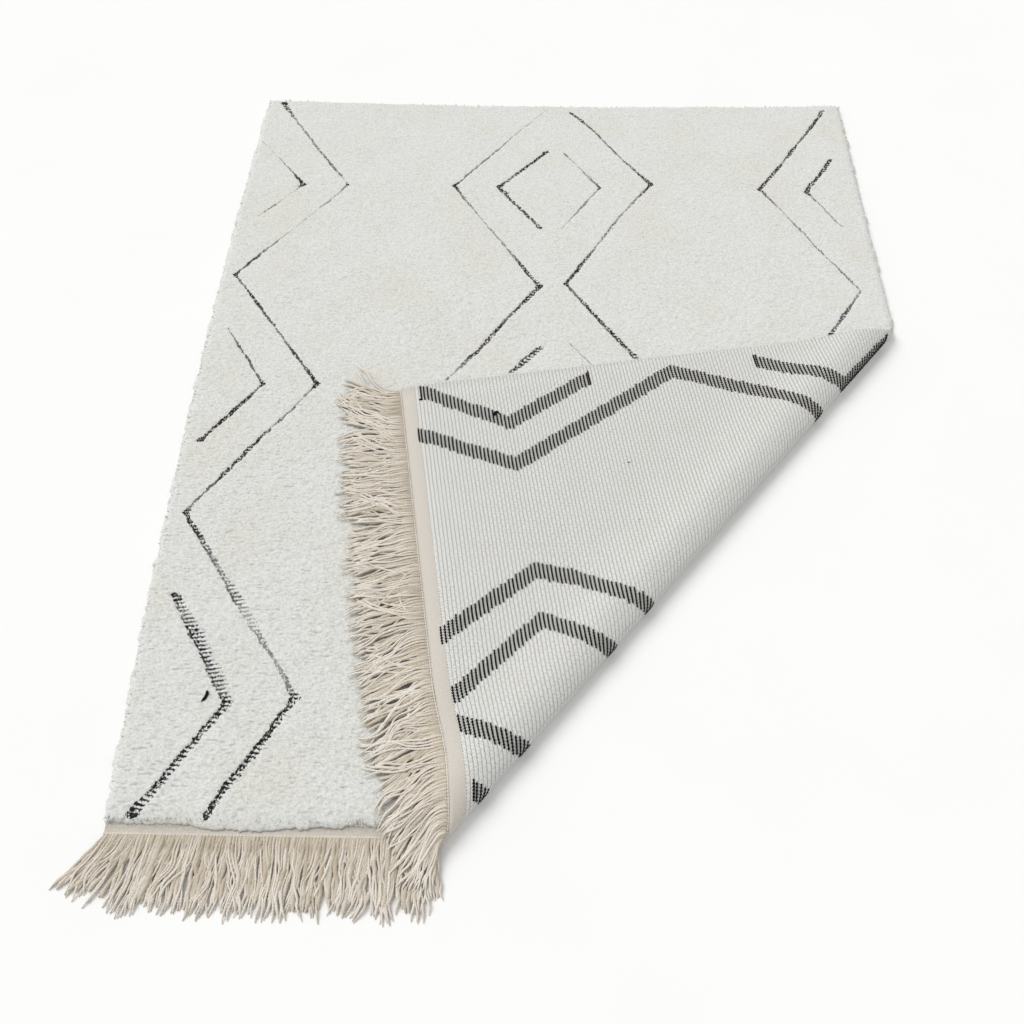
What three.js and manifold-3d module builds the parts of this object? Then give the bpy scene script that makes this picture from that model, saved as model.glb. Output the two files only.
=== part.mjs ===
// Azilal rug lying on the floor with its near right corner turned back over it.
// Millimetres, +Z up. The origin is on the floor under the middle of the woven rectangle,
// +X runs across the rug to the right and +Y runs along it to the far end.
// Flat coordinates: u across from the left selvedge, v along from the near edge of the weave,
// h through the thickness from the woven back (0) to the tips of the pile.

import * as THREE from 'three';
import Module from 'manifold-3d';

// Woven rectangle
const RUG_WIDTH = 1600;
const RUG_LENGTH = 2014;
const BAND_DEPTH = 30;
const GROUND_THICKNESS = 4;
const PILE_TOP = 18;

// Turned back corner: the crease lies along the line that mirrors the corner onto the rug
const CREASE_START = { u: 610, v: 0 };
const CREASE_END = { u: RUG_WIDTH, v: 1164 };
const NEUTRAL_HEIGHT = 3;
const FLAP_BACK_HEIGHT = 40;
const NOSE_RADIUS = 20;
const NOSE_TURN = THREE.MathUtils.degToRad(141.4);
const CROWN_RADIUS = 71;
const RETURN_RADIUS = 354;

// Hand woven edges are not straight
const LEFT_BOW = 22;
const FAR_HOLLOW = 16;
const NEAR_TUCK = 12;
const NEAR_TUCK_CENTRE = 740;
const NEAR_TUCK_HALF_WIDTH = 170;
const EDGE_REACH = 500;

// Pile rim
const RIM_PITCH = 20;
const RIM_INSET = 12;
const RIM_TOP = 13;
const RIM_BULGE_HEIGHT = 8;
const RIM_BULGE = 4;
const RIM_JAG = 4;
const BACK_INSET = 3;
const PILE_FOOT = 35;
const PILE_SHOULDER = 48;

// Lumps of the pile and slow waves of the turned back corner
const LUMP_WAVE = 95;
const LUMP_RISE = 1.4;
const FLAP_WAVE = 330;
const FLAP_RISE = 1.2;
const HIDDEN_PILE_SINK = 1;

// Bare band of the flap hangs down towards the pile under it
const DROOP_DEPTH = 60;
const DROOP_DROP = 10;
const DROOP_RAMP = 110;

// Lattice of the solid
const LATTICE_PITCH = 84;
const NOSE_STEPS = 7;
const CROWN_STEPS = 5;
const RETURN_STEPS = 4;
const EDGE_GAP = 0.4;

// Fringe: a woven heading strip and the strands fused into it
const STRIP_DEPTH = 8;
const STRAND_PITCH = 8.6;
const FLOOR_LENGTH = 110;
const FLAP_LENGTH = 146;
const NOSE_LENGTH = 104;
const LENGTH_SPREAD = 16;
const STRAND_ROOT_WIDTH = 5.2;
const STRAND_TIP_WIDTH = 3.2;
const STRAND_ROOT_RISE = 3.4;
const STRAND_TIP_RISE = 2.4;
const STRAND_STEPS = 4;
const STRAND_SINK = 4.5;
const STRAND_LIFT = 0.4;
const STRAND_SIDE_MARGIN = 5;
const LEFT_SWEEP = 105;
const LEFT_SWEEP_REACH = 85;
const LOCK_WAVE = 120;
const LOCK_SWAY = 12;
const LOCK_TURN = 0.12;
const SWAY_POWER = 1.4;

// Rest of the flap's strands: undersides on the pile and over the floor fringe
const PILE_REST = 21.6;
const FRINGE_REST = 6.5;
const FLOOR_ROOTS_END = 602;
const NOSE_ROOTS_END = 641;
const NOSE_PITCH = 13;
const NOSE_LENGTH_RAMP = 120;
const REST_RAMP_FOOT = 12;
const FALL_END = 900;
const FALL_STEPS = 7;
const FALL_REACH = 100;
const FALL_POWER = 2;
const LEAVE_REACH = 50;
const PLAN_SHARE = 0.93;

const centreOffset = new THREE.Vector2(RUG_WIDTH / 2, RUG_LENGTH / 2);
const creaseStart = new THREE.Vector2(CREASE_START.u, CREASE_START.v);
const creaseEnd = new THREE.Vector2(CREASE_END.u, CREASE_END.v);
const creaseAlong = creaseEnd.clone().sub(creaseStart).normalize();
const creaseOut = new THREE.Vector2(creaseAlong.y, -creaseAlong.x);

// Section of the fold, seen along the crease: a tight nose, a wide crown and a slow return
const crownTop = NOSE_RADIUS * (1 - Math.cos(NOSE_TURN)) + CROWN_RADIUS * (1 + Math.cos(NOSE_TURN));
const flapRise = FLAP_BACK_HEIGHT - 2 * NEUTRAL_HEIGHT;
const overturn = Math.acos(1 - (crownTop - flapRise) / (CROWN_RADIUS + RETURN_RADIUS));
const foldArcs = [
  { radius: NOSE_RADIUS, from: 0, to: NOSE_TURN, steps: NOSE_STEPS },
  { radius: CROWN_RADIUS, from: NOSE_TURN, to: Math.PI + overturn, steps: CROWN_STEPS },
  { radius: -RETURN_RADIUS, from: Math.PI + overturn, to: Math.PI, steps: RETURN_STEPS },
];
for (const arc of foldArcs) {
  arc.length = (arc.to - arc.from) * arc.radius;
}
const foldLength = foldArcs.reduce((sum, arc) => sum + arc.length, 0);
const foldReach = foldArcs.reduce((sum, arc) => sum + arcRun(arc, arc.to), 0);
const mirrorOffset = (foldLength + foldReach) / 2;

function arcRun(arc, turn) {
  return arc.radius * (Math.sin(turn) - Math.sin(arc.from));
}

function arcRise(arc, turn) {
  return arc.radius * (Math.cos(arc.from) - Math.cos(turn));
}

// Place on the neutral line at a cloth distance past the start of the fold
function foldSection(distance) {
  if (distance <= 0) {
    return { run: distance, rise: 0, turn: 0 };
  }
  let run = 0;
  let rise = 0;
  let left = distance;
  for (const arc of foldArcs) {
    if (left <= arc.length) {
      const turn = arc.from + left / arc.radius;
      return { run: run + arcRun(arc, turn), rise: rise + arcRise(arc, turn), turn };
    }
    run += arcRun(arc, arc.to);
    rise += arcRise(arc, arc.to);
    left -= arc.length;
  }
  return { run: run - left, rise, turn: Math.PI };
}

function foldDistance(u, v) {
  return (u - creaseStart.x) * creaseOut.x + (v - creaseStart.y) * creaseOut.y + mirrorOffset;
}

function clamp01(value) {
  return Math.min(1, Math.max(0, value));
}

function smooth(value) {
  const x = clamp01(value);
  return x * x * (3 - 2 * x);
}

// Repeatable number from 0 to 1 for a pair of whole numbers
function hash(i, j) {
  const wave = Math.sin(i * 127.1 + j * 311.7) * 43758.5453;
  return wave - Math.floor(wave);
}

// Soft noise from -1 to 1
function noise(x, y) {
  const i = Math.floor(x);
  const j = Math.floor(y);
  const a = smooth(x - i);
  const b = smooth(y - j);
  const near = hash(i, j) * (1 - a) + hash(i + 1, j) * a;
  const far = hash(i, j + 1) * (1 - a) + hash(i + 1, j + 1) * a;
  return 2 * (near * (1 - b) + far * b) - 1;
}

function bow(fraction) {
  return 4 * fraction * (1 - fraction);
}

// Uneven outline: the flat rectangle drawn to the shape the weaving took
function settle(u, v) {
  const leftPull = LEFT_BOW * bow(clamp01(v / RUG_LENGTH)) * clamp01(1 - u / EDGE_REACH);
  const farPull = FAR_HOLLOW * bow(u / RUG_WIDTH) * clamp01((v - RUG_LENGTH + EDGE_REACH) / EDGE_REACH);
  const tuckPlace = clamp01(1 - Math.abs(u - NEAR_TUCK_CENTRE) / NEAR_TUCK_HALF_WIDTH);
  const tuck = NEAR_TUCK * smooth(tuckPlace) * clamp01(1 - v / EDGE_REACH);
  return { u: u - leftPull, v: v - farPull + tuck };
}

// Share of the way from the end of the bend onto the level part of the flap
function flapShare(distance) {
  return smooth((distance - foldLength) / DROOP_RAMP);
}

// Flat coordinates to the folded place
function foldPoint(flatU, flatV, h) {
  const { u, v } = settle(flatU, flatV);
  const distance = foldDistance(u, v);
  const along = (u - creaseStart.x) * creaseAlong.x + (v - creaseStart.y) * creaseAlong.y;
  const { run, rise, turn } = foldSection(distance);
  const depth = h - NEUTRAL_HEIGHT;
  const out = run - mirrorOffset - Math.sin(turn) * depth;
  const onFlap = flapShare(distance);
  const droop = DROOP_DROP * clamp01(1 - flatV / DROOP_DEPTH) ** 2 * onFlap;
  const wave = FLAP_RISE * noise(u / FLAP_WAVE, v / FLAP_WAVE) * onFlap;
  return new THREE.Vector3(
    creaseStart.x + creaseOut.x * out + creaseAlong.x * along - centreOffset.x,
    creaseStart.y + creaseOut.y * out + creaseAlong.y * along - centreOffset.y,
    rise + NEUTRAL_HEIGHT + Math.cos(turn) * depth - droop + wave,
  );
}

// Whether a place on the floor part of the rug lies under the flap
function underFlap(u, v) {
  const out = (u - creaseStart.x) * creaseOut.x + (v - creaseStart.y) * creaseOut.y;
  const mirroredU = u - 2 * out * creaseOut.x;
  const mirroredV = v - 2 * out * creaseOut.y;
  return out < 0 && mirroredU < RUG_WIDTH && mirroredV > BAND_DEPTH;
}

// Thickness of the rug at a flat place
function thickness(u, v) {
  if (v <= BAND_DEPTH) {
    return GROUND_THICKNESS;
  }
  const edge = Math.min(u, RUG_WIDTH - u, RUG_LENGTH - v);
  const rim = RIM_TOP + (PILE_TOP - RIM_TOP) * smooth(edge / (2 * RIM_INSET));
  const foot = smooth((v - BAND_DEPTH) / (PILE_SHOULDER - BAND_DEPTH));
  const hidden = foldDistance(u, v) > 0 || underFlap(u, v);
  const lump = hidden ? -HIDDEN_PILE_SINK : LUMP_RISE * noise(u / LUMP_WAVE, v / LUMP_WAVE);
  return GROUND_THICKNESS + (rim + lump - GROUND_THICKNESS) * foot;
}

// Cuts every polygon along a straight line a*u + b*v = c
function splitAll(polygons, a, b, c, inZone = () => true) {
  const pieces = [];
  for (const polygon of polygons) {
    const sides = polygon.map((p) => a * p.u + b * p.v - c);
    const crossed = Math.min(...sides) < -1e-6 && Math.max(...sides) > 1e-6;
    if (!crossed || !inZone(polygon)) {
      pieces.push(polygon);
      continue;
    }
    const below = [];
    const above = [];
    polygon.forEach((p, k) => {
      const q = polygon[(k + 1) % polygon.length];
      const sideP = sides[k];
      const sideQ = sides[(k + 1) % polygon.length];
      if (sideP <= 1e-6) {
        below.push(p);
      }
      if (sideP >= -1e-6) {
        above.push(p);
      }
      if (Math.abs(sideP) > 1e-6 && Math.abs(sideQ) > 1e-6 && sideP * sideQ < 0) {
        const share = sideP / (sideP - sideQ);
        const cut = { u: p.u + (q.u - p.u) * share, v: p.v + (q.v - p.v) * share };
        below.push(cut);
        above.push(cut);
      }
    });
    pieces.push(below, above);
  }
  return pieces;
}

// Even places from start to end, no further apart than a pitch
function evenPlaces(start, end, pitch) {
  const count = Math.ceil((end - start) / pitch);
  return Array.from({ length: count + 1 }, (_, k) => start + ((end - start) * k) / count);
}

// Distances past the start of the fold at which the lattice bends
function foldLines() {
  const lines = [0];
  let start = 0;
  for (const arc of foldArcs) {
    for (let k = 1; k <= arc.steps; k += 1) {
      lines.push(start + (arc.length * k) / arc.steps);
    }
    start += arc.length;
  }
  return lines;
}

const latticeColumns = evenPlaces(RIM_INSET, RUG_WIDTH - RIM_INSET, LATTICE_PITCH);

// Flat rectangle cut into the polygons of the lattice
function latticePolygons() {
  let polygons = [[
    { u: 0, v: 0 },
    { u: RUG_WIDTH, v: 0 },
    { u: RUG_WIDTH, v: RUG_LENGTH },
    { u: 0, v: RUG_LENGTH },
  ]];
  const rows = [
    BAND_DEPTH,
    PILE_FOOT,
    ...evenPlaces(PILE_SHOULDER, RUG_LENGTH - RIM_INSET, LATTICE_PITCH),
  ];
  for (const u of latticeColumns) {
    polygons = splitAll(polygons, 1, 0, u);
  }
  for (const v of rows) {
    polygons = splitAll(polygons, 0, 1, v);
  }
  for (const line of foldLines()) {
    const offset = creaseStart.dot(creaseOut) + line - mirrorOffset;
    polygons = splitAll(polygons, creaseOut.x, creaseOut.y, offset);
  }
  return polygons;
}

function placeKey(p) {
  return `${Math.round(p.u * 100)},${Math.round(p.v * 100)}`;
}

// Every polygon as a ring of numbered places, with the rim cut to its own pitch
function numberedRings(polygons) {
  const places = [];
  const numbers = new Map();
  const numberOf = (p) => {
    const key = placeKey(p);
    if (!numbers.has(key)) {
      numbers.set(key, places.length);
      places.push(p);
    }
    return numbers.get(key);
  };
  const onRim = (p, q) => {
    const side = Math.abs(p.u - q.u) < 1e-6 && (p.u < 1e-6 || p.u > RUG_WIDTH - 1e-6);
    const far = Math.abs(p.v - q.v) < 1e-6 && p.v > RUG_LENGTH - 1e-6;
    const foot = Math.abs(p.v - q.v) < 1e-6 && (p.v === BAND_DEPTH || p.v === PILE_FOOT);
    return side || far || foot;
  };
  const rings = [];
  for (const polygon of polygons) {
    const ring = [];
    polygon.forEach((p, k) => {
      const q = polygon[(k + 1) % polygon.length];
      ring.push(numberOf(p));
      const length = Math.hypot(q.u - p.u, q.v - p.v);
      const parts = onRim(p, q) ? Math.max(1, Math.round(length / RIM_PITCH)) : 1;
      for (let part = 1; part < parts; part += 1) {
        const share = part / parts;
        ring.push(numberOf({ u: p.u + (q.u - p.u) * share, v: p.v + (q.v - p.v) * share }));
      }
    });
    const clean = ring.filter((number, k) => number !== ring[(k + 1) % ring.length]);
    if (clean.length >= 3) {
      rings.push(clean);
    }
  }
  return { places, rings };
}

// Outward push of the pile at a place on the rim, in flat coordinates
function rimPush(p, bulge) {
  const jag = bulge + RIM_JAG * noise((p.u + p.v) / (1.7 * RIM_PITCH), p.v / RIM_PITCH);
  const isPile = p.v > BAND_DEPTH ? 1 : 0;
  return {
    u: (p.u < 1e-6 ? -jag : 0) * isPile + (p.u > RUG_WIDTH - 1e-6 ? jag : 0) * isPile,
    v: p.v > RUG_LENGTH - 1e-6 ? jag : 0,
  };
}

function toGeometry(positions, triangles) {
  const geometry = new THREE.BufferGeometry();
  geometry.setAttribute('position', new THREE.Float32BufferAttribute(positions, 3));
  geometry.setIndex(triangles);
  return geometry;
}

// One solid: woven ground, pile and bare band, folded at the corner
function rugGeometry() {
  const { places, rings } = numberedRings(latticePolygons());
  const positions = [];
  const triangles = [];
  const addPoint = (u, v, h) => {
    positions.push(...foldPoint(u, v, h).toArray());
    return positions.length / 3 - 1;
  };
  const footJag = (p) => (p.v === BAND_DEPTH || p.v === PILE_FOOT ? RIM_JAG * noise(p.u / 37, 5.5) : 0);
  const insetBack = (p) => rimPush(p, -BACK_INSET);
  const top = places.map((p) => addPoint(p.u, p.v + footJag(p), thickness(p.u, p.v)));
  const back = places.map((p) => {
    const inset = insetBack(p);
    return addPoint(p.u + inset.u * 0.4, p.v + inset.v * 0.4, 0);
  });
  const edges = new Map();
  for (const ring of rings) {
    const middle = {
      u: ring.reduce((sum, k) => sum + places[k].u, 0) / ring.length,
      v: ring.reduce((sum, k) => sum + places[k].v, 0) / ring.length,
    };
    const fan = ring.length > 4;
    const topHub = fan ? addPoint(middle.u, middle.v, thickness(middle.u, middle.v)) : top[ring[0]];
    const backHub = fan ? addPoint(middle.u, middle.v, 0) : back[ring[0]];
    for (let k = 0; k < ring.length; k += 1) {
      const p = ring[k];
      const q = ring[(k + 1) % ring.length];
      if (fan || (k > 0 && k < ring.length - 1)) {
        triangles.push(topHub, top[p], top[q], backHub, back[q], back[p]);
      }
      edges.set(`${p},${q}`, [p, q]);
    }
  }
  const bulges = new Map();
  const bulgeOf = (k) => {
    if (!bulges.has(k)) {
      const p = places[k];
      const push = rimPush(p, RIM_BULGE);
      const height = p.v > BAND_DEPTH ? RIM_BULGE_HEIGHT : GROUND_THICKNESS / 2;
      bulges.set(k, addPoint(p.u + push.u, p.v + push.v, height));
    }
    return bulges.get(k);
  };
  for (const [p, q] of edges.values()) {
    if (!edges.has(`${q},${p}`)) {
      const lower = [back[p], back[q]];
      const middle = [bulgeOf(p), bulgeOf(q)];
      const upper = [top[p], top[q]];
      triangles.push(lower[0], lower[1], middle[1], lower[0], middle[1], middle[0]);
      triangles.push(middle[0], middle[1], upper[1], middle[0], upper[1], upper[0]);
    }
  }
  return toGeometry(positions, triangles);
}

// Closed tube through rings of points that all have the same count
function tubeGeometry(sections) {
  const count = sections[0].length;
  const positions = sections.flatMap((section) => section.flatMap((p) => p.toArray()));
  const triangles = [];
  for (let s = 0; s + 1 < sections.length; s += 1) {
    for (let k = 0; k < count; k += 1) {
      const next = (k + 1) % count;
      const a = s * count + k;
      const b = s * count + next;
      triangles.push(a, b + count, b, a, a + count, b + count);
    }
  }
  const last = (sections.length - 1) * count;
  for (let k = 1; k + 1 < count; k += 1) {
    triangles.push(0, k, k + 1, last, last + k + 1, last + k);
  }
  return toGeometry(positions, triangles);
}

// Heading strip along the near edge between two places across the rug
function stripGeometry(places) {
  const sections = places.map((u) => [
    foldPoint(u, -EDGE_GAP, 0),
    foldPoint(u, -EDGE_GAP - STRIP_DEPTH, 0),
    foldPoint(u, -EDGE_GAP - STRIP_DEPTH, GROUND_THICKNESS),
    foldPoint(u, -EDGE_GAP, GROUND_THICKNESS),
  ]);
  return tubeGeometry(sections);
}

// Three sided strand on the points of its underside
function strandGeometry(points) {
  const sections = points.map((point, k) => {
    const ahead = points[Math.min(k + 1, points.length - 1)];
    const behind = points[Math.max(k - 1, 0)];
    const along = ahead.clone().sub(behind).normalize();
    const side = along.clone().cross(new THREE.Vector3(0, 0, 1)).normalize();
    const up = side.clone().cross(along).normalize();
    const share = k / (points.length - 1);
    const width = STRAND_ROOT_WIDTH + (STRAND_TIP_WIDTH - STRAND_ROOT_WIDTH) * share;
    const rise = STRAND_ROOT_RISE + (STRAND_TIP_RISE - STRAND_ROOT_RISE) * share;
    return [
      point.clone().addScaledVector(side, width / 2),
      point.clone().addScaledVector(up, rise),
      point.clone().addScaledVector(side, -width / 2),
    ];
  });
  return tubeGeometry(sections);
}

// Uneven length of one strand
function strandLength(mean, k) {
  return mean + LENGTH_SPREAD * (2 * hash(k, 7) - 1);
}

// Strand of the near edge, lying level on the floor
function floorStrandPoints(u, k) {
  const sway = LOCK_SWAY * noise(u / LOCK_WAVE + 3.3, 1.5) - LEFT_SWEEP * Math.exp(-u / LEFT_SWEEP_REACH);
  const length = strandLength(FLOOR_LENGTH, k) * Math.cos(Math.atan(sway / FLOOR_LENGTH));
  const root = foldPoint(u, -STRAND_SINK, 0);
  const points = [];
  for (let step = 0; step <= STRAND_STEPS; step += 1) {
    const ahead = (length * step) / STRAND_STEPS;
    const aside = sway * (ahead / FLOOR_LENGTH) ** SWAY_POWER;
    const height = step > 0 ? 0 : STRAND_LIFT;
    points.push(new THREE.Vector3(root.x + aside, root.y - ahead, height));
  }
  return points;
}

// Headings of the flap's strands on the plan, by the place of their root across the rug
const flapHeadings = [
  { u: 566, degrees: -88 },
  { u: 600, degrees: -78 },
  { u: 609, degrees: -92 },
  { u: 640, degrees: -112 },
  { u: 700, degrees: -122 },
  { u: 800, degrees: -138 },
  { u: 900, degrees: -148 },
  { u: 1100, degrees: -160 },
  { u: 1350, degrees: -172 },
  { u: 1600, degrees: -186 },
];

function flapHeading(u) {
  const index = flapHeadings.findIndex((row) => row.u >= u);
  const high = flapHeadings[index];
  const low = flapHeadings[Math.max(index - 1, 0)];
  const share = high.u > low.u ? (u - low.u) / (high.u - low.u) : 0;
  return THREE.MathUtils.degToRad(low.degrees + (high.degrees - low.degrees) * share);
}

// Height that carries a strand over a place on the plan: pile, floor fringe or bare floor
function restHeight(point, rootU) {
  const v = point.y + centreOffset.y;
  const onFringe = rootU < FLOOR_ROOTS_END ? 0 : FRINGE_REST;
  const onPile = clamp01((v + REST_RAMP_FOOT) / (PILE_SHOULDER + REST_RAMP_FOOT));
  return onFringe + (PILE_REST - onFringe) * onPile;
}

// Strand of the turned back edge, falling from its root onto the pile, the floor fringe or the floor
function flapStrandPoints(u, k) {
  const pastNose = clamp01((u - NOSE_ROOTS_END) / NOSE_LENGTH_RAMP);
  const length = strandLength(NOSE_LENGTH + (FLAP_LENGTH - NOSE_LENGTH) * pastNose, k);
  const root = foldPoint(u, -STRAND_SINK, GROUND_THICKNESS / 2);
  const beyond = foldPoint(u, -STRAND_SINK - 1, GROUND_THICKNESS / 2);
  const leave = beyond.sub(root).normalize();
  const heading = flapHeading(u) + LOCK_TURN * noise(u / LOCK_WAVE, 8.5);
  const lay = new THREE.Vector3(Math.cos(heading), Math.sin(heading), 0);
  const steps = u < FALL_END ? FALL_STEPS : STRAND_STEPS;
  const stride = (length * PLAN_SHARE) / steps;
  const points = [root.clone()];
  const place = root.clone();
  for (let step = 1; step <= steps; step += 1) {
    const turned = smooth(((step - 0.5) * stride) / LEAVE_REACH);
    const course = leave.clone().setZ(0).multiplyScalar(1 - turned).addScaledVector(lay, turned);
    place.addScaledVector(course, stride);
    const fallen = clamp01(1 - (step * stride) / FALL_REACH) ** FALL_POWER;
    const carried = restHeight(place, u);
    const height = carried + Math.max(root.z - carried, 0) * fallen;
    points.push(place.clone().setZ(height));
  }
  points[0].z -= STRAND_ROOT_RISE / 2;
  return points;
}

const wasm = await Module();
wasm.setup();

function toSolid(geometry) {
  const mesh = new wasm.Mesh({
    numProp: 3,
    vertProperties: new Float32Array(geometry.getAttribute('position').array),
    triVerts: new Uint32Array(geometry.getIndex().array),
  });
  mesh.merge();
  return new wasm.Manifold(mesh);
}

// Strip and strands joined into one closed body
function fringeGeometry(strip, strands) {
  let body = toSolid(strip);
  for (const strand of strands) {
    body = body.add(toSolid(strand));
  }
  const mesh = body.getMesh();
  return toGeometry(Array.from(mesh.vertProperties), Array.from(mesh.triVerts));
}

function strandRoots(start, end, pitch) {
  return evenPlaces(start + STRAND_SIDE_MARGIN, end - STRAND_SIDE_MARGIN, pitch);
}

function clothMaterial(color, roughness) {
  return new THREE.MeshStandardMaterial({ color, roughness, metalness: 0 });
}

function part(name, geometry, material) {
  const mesh = new THREE.Mesh(geometry, material);
  mesh.name = name;
  return mesh;
}

const bendPlaces = foldLines().map((line) => creaseStart.x + (line - mirrorOffset) / creaseOut.x);
const bendStart = bendPlaces[0];

// Places across the rug where the heading strips bend as the near edge does
function stripPlaces(start, end) {
  const inner = [...latticeColumns, ...bendPlaces].filter((u) => u > start + 1 && u < end - 1);
  return [start, ...inner.sort((a, b) => a - b), end];
}

const floorStrip = stripGeometry(stripPlaces(0, bendStart));
const floorRoots = strandRoots(0, bendStart, STRAND_PITCH);
const floorStrands = floorRoots.map((u, k) => strandGeometry(floorStrandPoints(u, k)));
const flapStrip = stripGeometry(stripPlaces(bendStart + EDGE_GAP, RUG_WIDTH));
const flapRoots = [
  ...strandRoots(bendStart, NOSE_ROOTS_END, NOSE_PITCH),
  ...strandRoots(NOSE_ROOTS_END, RUG_WIDTH, STRAND_PITCH),
];
const flapStrands = flapRoots.map((u) => strandGeometry(flapStrandPoints(u, Math.round(u))));

const woolPile = clothMaterial(0xe4e3dd, 0.95);
const cottonFringe = clothMaterial(0xcdc5b8, 0.9);

const group = new THREE.Group();
group.add(part('rug', rugGeometry(), woolPile));
group.add(part('fringe_floor', fringeGeometry(floorStrip, floorStrands), cottonFringe));
group.add(part('fringe_flap', fringeGeometry(flapStrip, flapStrands), cottonFringe));

export default group;
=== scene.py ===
"""Looks of an azilal rug that lies on the floor with its near right corner turned back.

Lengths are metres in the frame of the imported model: the origin is on the floor under the
middle of the woven rectangle, +X runs across the rug and +Y along it to the far end.
Flat coordinates are u across from the left selvedge, v along from the near edge of the weave
and h through the thickness, from the woven back (0) to the tips of the pile.
"""

import logging
import math
from dataclasses import dataclass, field
from typing import Any, Iterator

import bpy
import numpy as np
from bpy.types import Material, Mesh, Node, NodeSocket, NodeTree, Object
from mathutils import Matrix, Vector

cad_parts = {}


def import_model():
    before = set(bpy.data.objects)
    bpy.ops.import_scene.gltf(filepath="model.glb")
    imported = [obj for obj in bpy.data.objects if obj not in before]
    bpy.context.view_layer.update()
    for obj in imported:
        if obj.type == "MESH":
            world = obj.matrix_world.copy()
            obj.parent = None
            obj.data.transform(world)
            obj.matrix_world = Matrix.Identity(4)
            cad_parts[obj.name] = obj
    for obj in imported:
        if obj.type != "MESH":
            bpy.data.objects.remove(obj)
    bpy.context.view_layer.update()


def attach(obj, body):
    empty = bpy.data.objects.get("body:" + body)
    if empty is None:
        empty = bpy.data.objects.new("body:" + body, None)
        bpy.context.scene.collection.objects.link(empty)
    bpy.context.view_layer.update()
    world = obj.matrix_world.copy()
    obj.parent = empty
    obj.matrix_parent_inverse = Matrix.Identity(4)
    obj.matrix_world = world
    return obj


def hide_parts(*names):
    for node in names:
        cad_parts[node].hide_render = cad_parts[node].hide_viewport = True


LOG = logging.getLogger("azilal_rug")
SAME_PLACE = 1e-7
HASH_STEPS = (127.1, 311.7)
HASH_GAIN = 43758.5453
MATT_SPECULAR = 0.15

Numbers = tuple[float, ...]


def smooth(value: np.ndarray | float) -> np.ndarray:
    """Soft step from 0 to 1 over the range 0 to 1."""
    x = np.clip(value, 0.0, 1.0)
    return x * x * (3.0 - 2.0 * x)


def ramp(value: np.ndarray | float, low: float, high: float) -> np.ndarray:
    """Soft step that starts at low and is whole at high."""
    return smooth((np.asarray(value) - low) / (high - low))


def cell_hash(i: np.ndarray | float, j: np.ndarray | float) -> np.ndarray:
    """Repeatable number from 0 to 1 for a pair of whole numbers."""
    wave = np.sin(np.asarray(i) * HASH_STEPS[0] + np.asarray(j) * HASH_STEPS[1]) * HASH_GAIN
    return wave - np.floor(wave)


def soft_noise(x: np.ndarray | float, y: np.ndarray | float) -> np.ndarray:
    """Smooth noise from -1 to 1 with one lump for each unit.

    Args:
        x: First coordinate, in lumps.
        y: Second coordinate, in lumps.

    Returns:
        The noise at each place.
    """
    i, j = np.floor(x), np.floor(y)
    a, b = smooth(x - i), smooth(y - j)
    near = cell_hash(i, j) * (1 - a) + cell_hash(i + 1, j) * a
    far = cell_hash(i, j + 1) * (1 - a) + cell_hash(i + 1, j + 1) * a
    return 2.0 * (near * (1 - b) + far * b) - 1.0


def layered_noise(u: np.ndarray, v: np.ndarray, layers: tuple[Numbers, ...]) -> np.ndarray:
    """Sum of soft noises.

    Args:
        u: Distance across from the left selvedge.
        v: Distance along from the near edge.
        layers: For each noise its strength, then its lump's width and shift, and its length and shift.

    Returns:
        The sum at each place.
    """
    return sum(
        strength * soft_noise(u / width + shift_u, v / length + shift_v)
        for strength, width, shift_u, length, shift_v in layers
    )


def even_places(start: float, end: float, pitch: float) -> np.ndarray:
    """Even places from start to end, no further apart than a pitch."""
    count = max(1, math.ceil((end - start) / pitch - 1e-6))
    return np.linspace(start, end, count + 1)


def linear_colour(hex_value: str) -> tuple[float, float, float, float]:
    """Linear colour with full alpha from an sRGB hex value such as #E4E3DD."""
    channels = [int(hex_value[k:k + 2], 16) / 255.0 for k in (1, 3, 5)]
    linear = [c / 12.92 if c <= 0.04045 else ((c + 0.055) / 1.055) ** 2.4 for c in channels]
    return (*linear, 1.0)


def add_node(tree: NodeTree, kind: str, inputs: dict | None = None, **settings: Any) -> Node:
    """Adds a node, sets it up and links it.

    Args:
        tree: Node tree that gets the node.
        kind: Blender's name of the node type.
        inputs: Socket name or number to a value or to the output socket that feeds it.
        **settings: Properties of the node itself.

    Returns:
        The new node.
    """
    node = tree.nodes.new(kind)
    for name, value in settings.items():
        setattr(node, name, value)
    for name, value in (inputs or {}).items():
        if isinstance(value, NodeSocket):
            tree.links.new(value, node.inputs[name])
        else:
            node.inputs[name].default_value = value
    return node


@dataclass(frozen=True)
class FlatRug:
    """The woven rectangle before the corner was turned back."""

    width: float = 1.600
    length: float = 2.014
    band: float = 0.030
    ground: float = 0.004
    pile_top: float = 0.018
    knot_row: float = 0.008


@dataclass(frozen=True)
class FoldArc:
    """One round stretch of the fold's section; a negative radius bends the other way."""

    radius: float
    start: float
    end: float

    @property
    def length(self) -> float:
        """Length of cloth in the arc."""
        return (self.end - self.start) * self.radius

    def run(self, turn: np.ndarray | float) -> np.ndarray:
        """Distance run outward from the arc's start at a turn."""
        return self.radius * (np.sin(turn) - math.sin(self.start))

    def rise(self, turn: np.ndarray | float) -> np.ndarray:
        """Height gained from the arc's start at a turn."""
        return self.radius * (math.cos(self.start) - np.cos(turn))


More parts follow.
